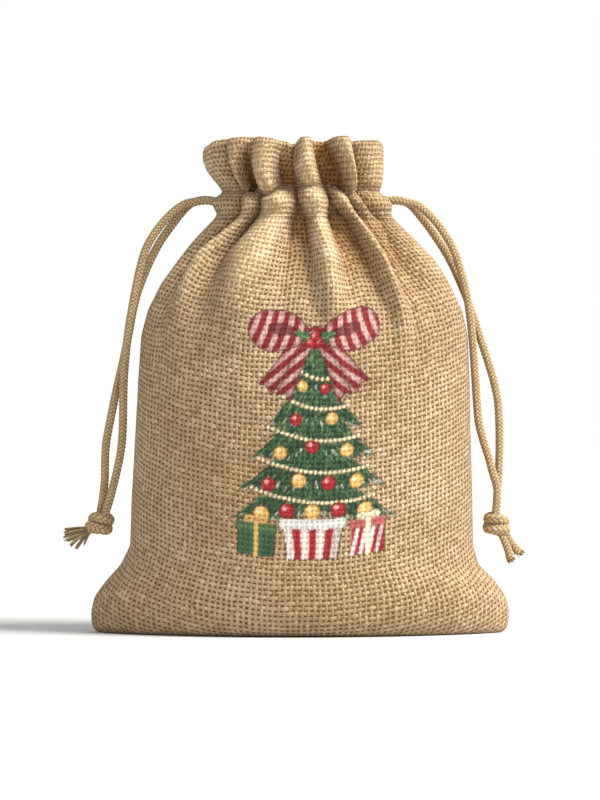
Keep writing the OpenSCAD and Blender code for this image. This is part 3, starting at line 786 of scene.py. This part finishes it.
class Canvas:
    """A painting in flat-cloth millimetres, made of discs, strokes and polygons with soft edges."""

    def __init__(self):
        shape = (round(PRINT_H * PRINT_DOTS), round(PRINT_W * PRINT_DOTS))
        self.colour = np.zeros((*shape, 3))
        self.cover = np.zeros(shape)
        y, x = np.mgrid[0 : shape[0], 0 : shape[1]]
        self.x, self.y = (x + 0.5) / PRINT_DOTS, (y + 0.5) / PRINT_DOTS

    def window(self, low, high):
        """The part of the canvas within a box, with a margin for soft edges."""
        a = np.clip(((np.asarray(low) - 1) * PRINT_DOTS).astype(int), 0, None)
        b = ((np.asarray(high) + 1) * PRINT_DOTS).astype(int)
        return slice(a[1], max(b[1], 1)), slice(a[0], max(b[0], 1))

    def lay(self, part, inside, colour, strength=1.0):
        """Paints colour where inside, a distance in millimetres that is positive inside, says so."""
        mask = np.clip(inside * PRINT_DOTS + 0.5, 0, 1) * strength
        colour = np.asarray(colour)
        self.colour[part] += (colour - self.colour[part]) * mask[..., None]
        self.cover[part] += (1 - self.cover[part]) * mask

    def disc(self, x, y, r, colour, strength=1.0, squash=1.0):
        part = self.window((x - r, y - r), (x + r, y + r))
        self.lay(part, r - np.hypot(self.x[part] - x, (self.y[part] - y) / squash), colour, strength)

    def stroke(self, a, b, r, colour, taper=0.3, strength=1.0):
        """A brush stroke from a to b that thins to a share of its width."""
        a, b = np.asarray(a, float), np.asarray(b, float)
        part = self.window(np.minimum(a, b) - r, np.maximum(a, b) + r)
        d = b - a
        t = ((self.x[part] - a[0]) * d[0] + (self.y[part] - a[1]) * d[1]) / max(d @ d, 1e-9)
        t = np.clip(t, 0, 1)
        away = np.hypot(self.x[part] - a[0] - t * d[0], self.y[part] - a[1] - t * d[1])
        self.lay(part, r * (1 - (1 - taper) * t) - away, colour, strength)

    def within(self, corners):
        """The part of the canvas round a polygon, and each dot's distance inside the polygon's edge."""
        corners = np.asarray(corners, float)
        part = self.window(corners.min(axis=0), corners.max(axis=0))
        x, y = self.x[part], self.y[part]
        inside = np.zeros(x.shape, bool)
        near = np.full(x.shape, 1e9)
        for (ax, ay), (bx, by) in zip(corners, np.roll(corners, -1, axis=0)):
            if ay != by:
                inside ^= ((ay > y) != (by > y)) & (x < ax + (y - ay) * (bx - ax) / (by - ay))
            dx, dy = bx - ax, by - ay
            t = np.clip(((x - ax) * dx + (y - ay) * dy) / max(dx * dx + dy * dy, 1e-9), 0, 1)
            near = np.minimum(near, np.hypot(x - ax - t * dx, y - ay - t * dy))
        return part, np.where(inside, near, -near)

    def polygon(self, corners, colour, strength=1.0):
        part, inside = self.within(corners)
        self.lay(part, inside, colour, strength)

    def striped(self, corners, angle, pitch, bow=0.0):
        """A red-edged polygon in pale and red stripes across a direction, each curved by bow."""
        part, inside = self.within(corners)
        self.lay(part, inside + 0.35, DARK_RED)
        self.lay(part, inside, STRIPE_PALE)
        c, s = math.cos(math.radians(angle)), math.sin(math.radians(angle))
        x, y = self.x[part] - np.mean(corners, axis=0)[0], self.y[part] - np.mean(corners, axis=0)[1]
        place = (x * c + y * s + bow * (y * c - x * s) ** 2) / pitch
        band = (0.28 - np.abs(place - np.round(place))) * pitch
        self.lay(part, np.minimum(inside, band), STRIPE_RED)
        self.lay(part, np.minimum(inside, 1.3 - inside), DARK_RED, 0.35)

    def bauble(self, x, y, r, colours):
        body, dark, pale = colours
        self.disc(x, y, r + 0.25, dark)
        self.disc(x, y, r, body)
        self.disc(x - 0.15 * r, y + 0.2 * r, 0.72 * r, np.array(body) * 1.25, 0.6)
        self.disc(x - 0.3 * r, y + 0.36 * r, 0.36 * r, pale, 0.9)
        self.disc(x, y + r + 0.3, 0.35, DARK_GOLD)


def mix(a, b, share):
    return np.asarray(a) + (np.asarray(b) - np.asarray(a)) * share


def rectangle(left, low, right, high):
    return [(left, low), (right, low), (right, high), (left, high)]


TREE_X = 26.5
# The fir's tiers from the lowest up: height of the tier's tips, half width there, height of its top.
TIERS = [(12.5, 24, 30), (21.5, 21.5, 40), (31, 18, 49), (40.5, 14, 57), (49.5, 9.5, 65)]


def paint_tree(canvas, rng):
    """Tiers of fir boughs, each drawn as needles that hang outwards, darker below and lighter above."""
    for low, half, high in TIERS:
        tips = []
        for k in range(9):
            share = k / 8 * 2 - 1
            droop = 2.2 * abs(share) - 1.2
            tips.append((TREE_X + half * share, low - droop))
            tips.append((TREE_X + half * (share + 0.125), low + 1.6 - droop))
        canvas.polygon([*tips[:-1], (TREE_X + 1.2, high), (TREE_X - 1.2, high)], DARK_GREEN)
        for _ in range(int(half * 34)):
            share = rng.uniform(-1, 1)
            rise = rng.uniform(0, 1) ** 1.25
            x = TREE_X + half * share * (1 - 0.86 * rise)
            y = low + 0.8 + (high - low) * rise * 0.92 - 1.4 * abs(share) * (1 - rise)
            lean = 1.5 * share + rng.normal(0, 0.5)
            size = rng.uniform(1.3, 3.0)
            end = (x + size * lean * 0.6, y - size * rng.uniform(0.5, 0.95))
            light = np.clip(rng.normal(0.35 + 0.3 * rise, 0.28), 0, 1)
            colour = mix(DARK_GREEN, MID_GREEN, min(1, 2 * light))
            if light > 0.62:
                colour = mix(MID_GREEN, LIGHT_GREEN, (light - 0.62) / 0.38)
            canvas.stroke((x, y), end, rng.uniform(0.16, 0.3), colour, 0.3, 0.9)
        for _ in range(int(half * 1.1)):
            share = rng.uniform(-1, 1)
            x, y = TREE_X + half * share * 0.97, low + 0.6 - 1.8 * abs(share) + rng.uniform(0, 2.4)
            canvas.stroke((x, y), (x + share * 1.5, y - 1.1), 0.22, SNOW, 0.4, rng.uniform(0.3, 0.7))


def paint_garlands(canvas):
    """Swags of beads across the tiers."""
    for low, half, _ in TIERS:
        beads = max(5, int(half * 1.15))
        for k in range(beads):
            share = k / (beads - 1) * 2 - 1
            x = TREE_X + 0.76 * half * share
            y = low + 5 + 2.2 * share**2 - 1.6 * share
            canvas.disc(x, y, 0.66, DARK_GOLD, 0.9)
            canvas.disc(x, y + 0.05, 0.52, CREAM)


def paint_baubles(canvas, rng):
    reds, golds = (RED, DARK_RED, PALE_RED), (GOLD, DARK_GOLD, PALE_GOLD)
    for tier, (low, half, _) in enumerate(TIERS):
        count = 5 - tier if tier < 4 else 2
        for k in range(count):
            share = (k + 0.5) / count * 2 - 1
            x = TREE_X + half * 0.8 * share + rng.uniform(-0.6, 0.6)
            y = low + 2.2 + rng.uniform(-0.5, 0.9) - 1.2 * abs(share)
            canvas.bauble(x, y, 2.15 - 0.17 * tier, reds if (k + tier) % 2 else golds)


def paint_bow(canvas, x, y):
    """A big bow of striped ribbon, with its two tails."""
    turn = np.linspace(0, 2 * math.pi, 40)
    for way in (-1, 1):
        for width, out, down in ((4.6, 15, 14.5), (4.2, 9.5, 17)):
            share = np.linspace(0, 1, 9)
            ripple = 1.1 * np.sin(5 * share)
            middle = np.stack([x + way * out * share**0.8, y - down * share + ripple], axis=1)
            ahead = unit(np.gradient(middle, axis=0))
            aside = np.stack([-ahead[:, 1], ahead[:, 0]], axis=1) * (width * (0.35 + 0.15 * share))[:, None]
            notch = middle[-1] - 1.6 * ahead[-1]
            canvas.striped([*(middle + aside), notch, *(middle - aside)[::-1]], 90 - way * 38, 3.2)
        long, high, tilt = 21, 7.6, math.radians(9)
        c, s = math.cos(tilt), math.sin(tilt)
        along = long * (1 - np.cos(turn)) / 2
        up = high * np.sin(turn) * np.sin(turn / 2) ** 0.8
        loop = np.stack([x + way * (along * c - up * s), y + along * s + up * c], axis=1)
        canvas.striped(loop, way * 14, 3.6, -way * 0.02)
        hollow = np.stack([x + way * (4.5 + 0.5 * along), y + 1.2 + 0.09 * along + 0.32 * up], axis=1)
        canvas.polygon(hollow, OUTLINE, 0.5)
        canvas.polygon(hollow, DARK_RED, 0.75)
    canvas.disc(x, y, 3.1, DARK_RED, squash=1.15)
    canvas.disc(x, y, 2.8, STRIPE_RED, squash=1.15)
    canvas.disc(x - 0.6, y + 0.7, 1.4, STRIPE_PALE, 0.5)


def paint_box(canvas, x, y, w, h, colours, ribbon, stripes=0):
    """A wrapped present with a lid, stripes and a ribbon tied in a bow."""
    body, dark, pale = colours
    edge = 0.25
    canvas.polygon(rectangle(x - edge, y - edge, x + w + edge, y + h), dark)
    canvas.polygon(rectangle(x, y, x + w, y + h), body)
    for k in range(stripes):
        at = x + (k + 0.5) * w / stripes
        canvas.stroke((at - 1, y + 0.3), (at + 0.6, y + h - 0.4), w / stripes / 4.4, SNOW, 1, 0.9)
    canvas.polygon(rectangle(x + 0.7 * w, y, x + w, y + h), dark, 0.35)
    middle = x + w / 2
    lid = rectangle(x - 0.7, y + h - 0.4, x + w + 0.7, y + h + 2)
    canvas.polygon(lid, dark)
    canvas.polygon([(a * 0.985 + 0.015 * middle, b) for a, b in lid], mix(body, pale, 0.25))
    canvas.stroke((middle, y), (middle, y + h + 2), 0.75, ribbon, 1)
    for way in (-1, 1):
        for up, r, light, squash in ((3.2, 1.75, 0.55, 0.7), (3.25, 1.45, 1, 0.68), (3.2, 0.6, 0.5, 0.7)):
            canvas.disc(middle + way * 1.9, y + h + up, r, np.array(ribbon) * light, 1, squash)
    canvas.disc(middle, y + h + 2.9, 0.8, np.array(ribbon) * 0.75)


def paint_pot(canvas):
    """A striped tub that the fir stands in."""
    x, top, bottom, high, low = TREE_X, 9, 7.2, 11.5, 0.6

    def stave(left, right):
        """The part of the tub between two shares of its half width."""
        ends = ((left, bottom, low), (right, bottom, low), (right, top, high), (left, top, high))
        return [(x + half * share, y) for share, half, y in ends]

    canvas.polygon([(x + 1.04 * (a - x), b - 0.2 if b == low else b) for a, b in stave(-1, 1)], OUTLINE)
    canvas.polygon(stave(-1, 1), RED)
    for k in range(-3, 4, 2):
        canvas.polygon(stave((k - 0.5) / 3.5, (k + 0.5) / 3.5), mix(SNOW, PALE_RED, 0.25))
    canvas.polygon(stave(0.62, 1), DARK_RED, 0.35)
    rim = rectangle(x - top - 0.8, high - 1.8, x + top + 0.8, high + 0.9)
    canvas.polygon([(x + 1.03 * (a - x), b + (0.25 if b > high else -0.25)) for a, b in rim], OUTLINE)
    canvas.polygon(rim, SNOW)
    for k in range(22):
        tone = mix(SNOW, SHADE, 0.3 * (k % 3))
        canvas.disc(x - top + 2 * top * k / 21, high - 0.6 + 0.9 * math.sin(k * 2.4), 0.9, tone, 0.5)


def paint_holly(canvas, x, y):
    """Two holly leaves and three berries."""
    for way in (-1, 1):
        tip = np.array((x + way * 6.4, y + 2.2))
        leaf, root = [], np.array((x, y))
        d = tip - root
        across = np.array((-d[1], d[0])) / np.linalg.norm(d)
        for edge in (1, -1):
            for k in range(7):
                share = k / 6 if edge > 0 else 1 - k / 6
                width = 2.0 * math.sin(math.pi * min(1, share * 0.92 + 0.06)) * (1 if k % 2 else 0.55)
                leaf.append(root + d * share + edge * across * width)
        centre = root + d / 2
        canvas.polygon([centre + (p - centre) * 1.12 for p in leaf], OUTLINE)
        canvas.polygon(leaf, MID_GREEN)
        canvas.stroke(root, tip, 0.22, LIGHT_GREEN, 0.4)
        for k in (0.3, 0.5, 0.7):
            for edge in (1, -1):
                vein_end = root + d * (k + 0.14) + edge * across * 0.9
                canvas.stroke(root + d * k, vein_end, 0.13, LIGHT_GREEN, 0.4, 0.8)
    for bx, by in ((-1.3, -0.6), (1.3, -0.4), (0, 1.3)):
        canvas.bauble(x + bx, y + by, 1.35, (RED, DARK_RED, PALE_RED))


def paint_print():
    canvas, rng = Canvas(), np.random.default_rng(24)
    paint_tree(canvas, rng)
    paint_garlands(canvas)
    paint_baubles(canvas, rng)
    paint_bow(canvas, TREE_X, 66.5)
    paint_holly(canvas, TREE_X, 65.5)
    paint_box(canvas, 4.2, 1.2, 11, 7.6, (MID_GREEN, DARK_GREEN, LIGHT_GREEN), GOLD)
    paint_box(canvas, 38.2, 1, 10, 8.2, (RED, DARK_RED, PALE_RED), CREAM, 4)
    paint_pot(canvas)
    return canvas


def printed(u, v):
    """The print's colour and cover at each point of the front cloth, read off the canvas."""
    canvas = paint_print()
    x = ((u - PRINT_U) * PRINT_DOTS - 0.5).ravel()
    y = ((v - PRINT_V) * PRINT_DOTS - 0.5).ravel()
    rows, columns = canvas.cover.shape
    on = (x > 1) & (x < columns - 2) & (y > 1) & (y < rows - 2)
    xi, yi = np.clip(x, 0, columns - 2).astype(int), np.clip(y, 0, rows - 2).astype(int)
    fx, fy = (x - xi)[:, None], (y - yi)[:, None]
    layers = np.concatenate([canvas.colour * canvas.cover[..., None], canvas.cover[..., None]], axis=2)
    top = layers[yi, xi] * (1 - fx) + layers[yi, xi + 1] * fx
    below = layers[yi + 1, xi] * (1 - fx) + layers[yi + 1, xi + 1] * fx
    value = np.where(on[:, None], top * (1 - fy) + below * fy, 0)
    cover = value[:, 3]
    colour = value[:, :3] / np.maximum(cover, 1e-3)[:, None]
    return {"print_colour": np.clip(colour, 0, 1), "print_cover": np.clip(cover, 0, 1)}


# ---------------------------------------------------------------- materials


class Value:
    """What a node gives out. Signs between two of them, or one and a number, make Math nodes."""

    def __init__(self, nodes, socket):
        self.nodes, self.socket = nodes, socket

    def __add__(self, other):
        return self.nodes.math("ADD", self, other)

    def __sub__(self, other):
        return self.nodes.math("SUBTRACT", self, other)

    def __rsub__(self, other):
        return self.nodes.math("SUBTRACT", other, self)

    def __mul__(self, other):
        return self.nodes.math("MULTIPLY", self, other)

    def __truediv__(self, other):
        return self.nodes.math("DIVIDE", self, other)

    def __gt__(self, other):
        return self.nodes.math("GREATER_THAN", self, other)


class Nodes:
    """Short names for the nodes of one material or world."""

    def __init__(self, owner, shader="Principled BSDF"):
        owner.use_nodes = True
        self.owner, self.tree = owner, owner.node_tree
        self.shader = self.tree.nodes[shader]

    def put(self, socket, value):
        if isinstance(value, Value):
            self.tree.links.new(value.socket, socket)
        else:
            socket.default_value = (*value, 1) if socket.type == "RGBA" else value

    def node(self, kind, values, **settings):
        """The outputs of a new node with these settings and these values at its inputs."""
        node = self.tree.nodes.new("ShaderNode" + kind)
        for key, value in settings.items():
            setattr(node, key, value)
        for key, value in values.items():
            self.put(node.inputs[key], value)
        return [Value(self, socket) for socket in node.outputs]

    def shade(self, **values):
        """Sets the shader's inputs, with _ for each space in a name."""
        for key, value in values.items():
            self.put(self.shader.inputs[key.replace("_", " ")], value)

    def math(self, operation, *values):
        return self.node("Math", dict(enumerate(values)), operation=operation)[0]

    def attribute(self, name, output=1):
        return self.node("Attribute", {}, attribute_name=name)[output]

    def position(self):
        return Value(self, self.tree.nodes.new("ShaderNodeTexCoord").outputs["Object"])

    def split(self, vector):
        return self.node("SeparateXYZ", {0: vector})

    def join(self, x, y, z=0.0):
        return self.node("CombineXYZ", {0: x, 1: y, 2: z})[0]

    def noise(self, vector, scale, detail=2.0, output=0):
        return self.node("TexNoise", {"Vector": vector, "Scale": scale, "Detail": detail})[output]

    def mix(self, share, a, b):
        """One colour or the other, or between them."""
        return self.node("Mix", {0: share, 6: a, 7: b}, data_type="RGBA")[2]

    def mix_value(self, share, a, b):
        """One number or the other, or between them."""
        return self.node("Mix", {0: share, 2: a, 3: b})[0]

    def product(self, a, b):
        """One colour times another."""
        return self.node("VectorMath", {0: a, 1: b}, operation="MULTIPLY")[0]

    def scaled(self, colour, factor):
        """A colour times a number."""
        return self.node("VectorMath", {0: colour, "Scale": factor}, operation="SCALE")[0]

    def range(self, value, low, high, to_low=0.0, to_high=1.0, smooth=True):
        kind = "SMOOTHSTEP" if smooth else "LINEAR"
        ends = {0: value, 1: low, 2: high, 3: to_low, 4: to_high}
        return self.node("MapRange", ends, interpolation_type=kind)[0]

    def bump(self, height, distance):
        return self.node("Bump", {"Height": height, "Distance": distance, "Strength": 1.0})[0]


YARN_LIGHT, YARN_MID, YARN_DARK = (0.745, 0.58, 0.39), (0.475, 0.325, 0.176), (0.30, 0.172, 0.068)
# Painted shade in the pleats' folds and painted light on their crests.
PAINTED_FOLD_SHADE, PAINTED_CREST_LIGHT = (0.74, 0.50, 0.24), (1.33, 1.40, 1.42)   # what the cloth's colour is multiplied by
# Painted shade seen through the gaps between the yarns, a little lighter on the crests.
PAINTED_GAP_SHADE, PAINTED_CREST_GAP_SHADE = (0.16, 0.08, 0.022), (0.30, 0.18, 0.07)   # between the yarns
GAP_DEPTH = -0.55     # the weave's height in a gap, where a yarn is about 1 high


def yarn_height(n, across, along, width, wave):
    """The height of one set of yarns, going over and under the other by a wave. across and along count
    yarns, and width is the share of its room that a yarn fills."""
    edge = (n.math("FRACT", across) * 2.0 - 1.0) / width
    inside = 1.0 - edge * edge
    arch = n.math("SQRT", n.math("MAXIMUM", inside, 0.0))
    over = n.math("COSINE", (along - 0.5) * math.pi) * n.math("COSINE", n.math("FLOOR", across) * math.pi)
    return n.mix_value(inside > 0.0, GAP_DEPTH, over * wave + arch * 0.75)


def weave_material(name, with_print):
    """Plain-weave burlap: slubby yarns over and under each other, with painted shade in the small gaps
    between them and low in the weave, painted shade in the pleats' folds and painted light on their crests.
    """
    n = Nodes(bpy.data.materials.new(name))
    raw = n.split(n.attribute("weave"))
    plain = n.join(raw[0], raw[1])
    sway = n.split(n.noise(plain, 0.16, 3.0, output=1))
    u, v = (raw[k] + (sway[k] * 0.9 - 0.45) for k in range(2))
    slub_warp = n.noise(n.join(n.math("FLOOR", u) * 7.31, v * 0.42), 1.0)
    slub_weft = n.noise(n.join(u * 0.42, n.math("FLOOR", v) * 7.31, 5.0), 1.0)
    warp = yarn_height(n, u, v, n.range(slub_warp, 0.25, 0.75, 0.36, 0.72, smooth=False), 0.42)
    weft = yarn_height(n, v, u, n.range(slub_weft, 0.25, 0.75, 0.48, 0.86, smooth=False), -0.42)
    height, on_warp = n.math("MAXIMUM", warp, weft), warp > weft

    fibre_warp = n.noise(n.join(u * 9.0, v * 1.3), 1.0, 3.0)
    fibre_weft = n.noise(n.join(u * 1.3, v * 9.0, 3.0), 1.0, 3.0)
    fibre = n.mix_value(on_warp, fibre_weft, fibre_warp)
    slub = n.mix_value(on_warp, slub_weft, slub_warp)
    tone = fibre * 0.75 + (slub * 0.35 - 0.05) + (n.noise(plain, 0.035) * 0.3 - 0.15)
    yarn = n.mix(n.range(tone, 0.32, 0.52), YARN_DARK, YARN_MID)
    yarn = n.mix(n.range(tone, 0.48, 0.72), yarn, YARN_LIGHT)
    crest = n.range(raw[2], 0.0, 0.6)
    # Painted shade: the lower the weave lies, the nearer the colour goes to the gap shade.
    colour = n.mix(n.range(height, -0.35, 0.72), n.mix(crest, PAINTED_GAP_SHADE, PAINTED_CREST_GAP_SHADE), yarn)
    relief = height + fibre * 0.28
    if with_print:
        ink = n.scaled(n.attribute("print_colour"), n.range(fibre, 0.25, 0.75, 0.86, 1.16, smooth=False))
        # Painted shade: the ink is darker where the weave lies low.
        ink = n.scaled(ink, n.range(height, -0.35, 0.5, 0.66, 1.0))
        worn = n.range(n.noise(plain, 2.6), 0.28, 0.42, 0.88, 1.0)
        cover = n.attribute("print_cover", output=2) * worn
        colour = n.mix(cover, colour, ink)
        relief = relief * n.range(cover, 0.0, 1.0, 1.0, 0.55, smooth=False)
    # Painted shade in the folds and painted light on the crests, by the weave attribute's third number.
    painted_fold_shade_and_crest_light = n.mix(n.range(raw[2], -1.4, -0.05), PAINTED_FOLD_SHADE, n.mix(crest, (1, 1, 1), PAINTED_CREST_LIGHT))
    n.shade(
        Base_Color=n.product(colour, painted_fold_shade_and_crest_light), Normal=n.bump(relief, 0.0005),
        Roughness=n.range(fibre, 0.2, 0.8, 0.95, 0.72, smooth=False),
        Specular_IOR_Level=0.25, Sheen_Weight=0.12, Sheen_Roughness=0.5,
    )
    return n.owner


# The darkest cord colour is painted shade for the grooves between the strands.
CORD_LIGHT, CORD_MID, CORD_GROOVE_SHADE = (0.62, 0.46, 0.26), (0.39, 0.265, 0.125), (0.15, 0.088, 0.03)


def cord_material():
    """Braided cotton: strands that pass over two and under two, with fine fibres along each, and painted
    shade in the grooves between the strands.
    """
    n = Nodes(bpy.data.materials.new("braided_cord"))
    lay = n.attribute("lay")
    cosine, sine, distance = n.split(lay)
    turns = n.math("ARCTAN2", sine, cosine) * (BRAID_PAIRS / (2 * math.pi))
    along = distance * (BRAID_PAIRS / BRAID_LENGTH)
    one, two = turns + along, turns - along
    heights, streaks = [], []
    for across, ahead, first in ((one, two, 0.0), (two, one, 2.0)):
        beside = n.math("POWER", n.math("ABSOLUTE", n.math("SINE", across * math.pi)), 0.6)
        place = ahead + n.math("FLOOR", across) - first
        heights.append(n.math("SINE", place * (math.pi / 2)) * 0.7 + beside)
        streaks.append(n.noise(n.join(across * 5.0, ahead * 0.8, first), 1.0))
    height = n.math("MAXIMUM", *heights)
    streak = n.mix_value(heights[0] > heights[1], streaks[1], streaks[0])
    tone = streak * 0.8 + n.noise(lay, 0.5) * 0.25
    yarn = n.mix(n.range(tone, 0.34, 0.68), CORD_MID, CORD_LIGHT)
    # Painted shade: the colour darkens in the grooves, where the braid lies low.
    n.shade(
        Base_Color=n.mix(n.range(height, 0.45, 1.45), CORD_GROOVE_SHADE, yarn),
        Normal=n.bump(height * 0.6 + streak * 0.5, 0.00022),
        Roughness=n.range(streak, 0.2, 0.8, 0.85, 0.62, smooth=False),
        Specular_IOR_Level=0.3, Sheen_Weight=0.1,
    )
    return n.owner


THREAD_DARK, THREAD_LIGHT = (0.34, 0.235, 0.13), (0.52, 0.385, 0.235)


def thread_material():
    """Two-ply spun thread, a little lighter than the cloth."""
    n = Nodes(bpy.data.materials.new("spun_thread"))
    fibre = n.noise(n.position(), 3200, 3.0)
    n.shade(
        Base_Color=n.mix(n.range(fibre, 0.35, 0.65), THREAD_DARK, THREAD_LIGHT),
        Normal=n.bump(fibre, 0.00008), Roughness=n.range(fibre, 0.3, 0.7, 0.85, 0.65),
    )
    return n.owner


# ---------------------------------------------------------------- studio


KEY_FROM = (0.66, -0.25, 0.75)   # the direction that the key light comes from
KEY_STRENGTH = 5.1
KEY_SPREAD = 24                  # degrees, so its shadows are soft
KEY_COLOUR = (1, 0.975, 0.93)
SKY_FROM = (0.56, -0.2, 0.8)     # the direction that most of the surround's light comes from
FLOOR_SIZE = 6                   # metres from its middle to each edge
FLOOR_DARK, FLOOR_LIGHT = (0.585, 0.585, 0.585), (0.605, 0.605, 0.605)


def make_surround():
    """White behind the object. It lights like a large soft box above and to the right."""
    n = Nodes(bpy.data.worlds.new("surround"), "Background")
    bpy.context.scene.world = n.owner
    facing = Value(n, n.tree.nodes.new("ShaderNodeTexCoord").outputs["Generated"])
    towards = n.node("VectorMath", {0: facing, 1: SKY_FROM}, operation="DOT_PRODUCT")[1]
    seen = Value(n, n.tree.nodes.new("ShaderNodeLightPath").outputs["Is Camera Ray"])
    strength = n.mix_value(seen, n.range(towards, -0.5, 1, 0.33, 1.0, smooth=False), 1.0)
    n.shade(Color=(1, 1, 1), Strength=strength)


def make_floor():
    mesh = bpy.data.meshes.new("floor")
    corners = [(x, y, 0) for x, y in rectangle(-FLOOR_SIZE, -FLOOR_SIZE, FLOOR_SIZE, FLOOR_SIZE)]
    mesh.from_pydata(corners, [], [(0, 1, 2, 3)])
    floor = link("floor", mesh)
    n = Nodes(bpy.data.materials.new("pale_floor"))
    n.shade(
        Base_Color=n.mix(n.noise(n.position(), 3), FLOOR_DARK, FLOOR_LIGHT), Roughness=0.9,
        Specular_IOR_Level=0.0,
    )
    mesh.materials.append(n.owner)


def make_studio():
    """A pale floor, a bright surround and a soft key light from the upper right."""
    make_surround()
    make_floor()
    bpy.context.scene.view_settings.view_transform = "Standard"
    key = bpy.data.lights.new("key", "SUN")
    key.energy, key.angle, key.color = KEY_STRENGTH, math.radians(KEY_SPREAD), KEY_COLOUR
    lamp = link("key", key)
    lamp.rotation_euler = Vector(KEY_FROM).to_track_quat("Z", "Y").to_euler()


# ---------------------------------------------------------------- all together

cords = make_cords()
cloths, threads = make_cloth()
make_studio()

cloth_plain, cloth_printed = weave_material("burlap", False), weave_material("burlap_printed", True)
for piece in cloths:
    piece.data.materials.append(cloth_printed if piece.name == "front_cloth" else cloth_plain)
seams = [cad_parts[f"{name}_seam_stitching"] for name in ("left", "right", "bottom")]
for piece in seams:
    piece.data.materials.clear()
for pieces, material in ((cords, cord_material()), (threads + seams, thread_material())):
    for piece in pieces:
        piece.data.materials.append(material)
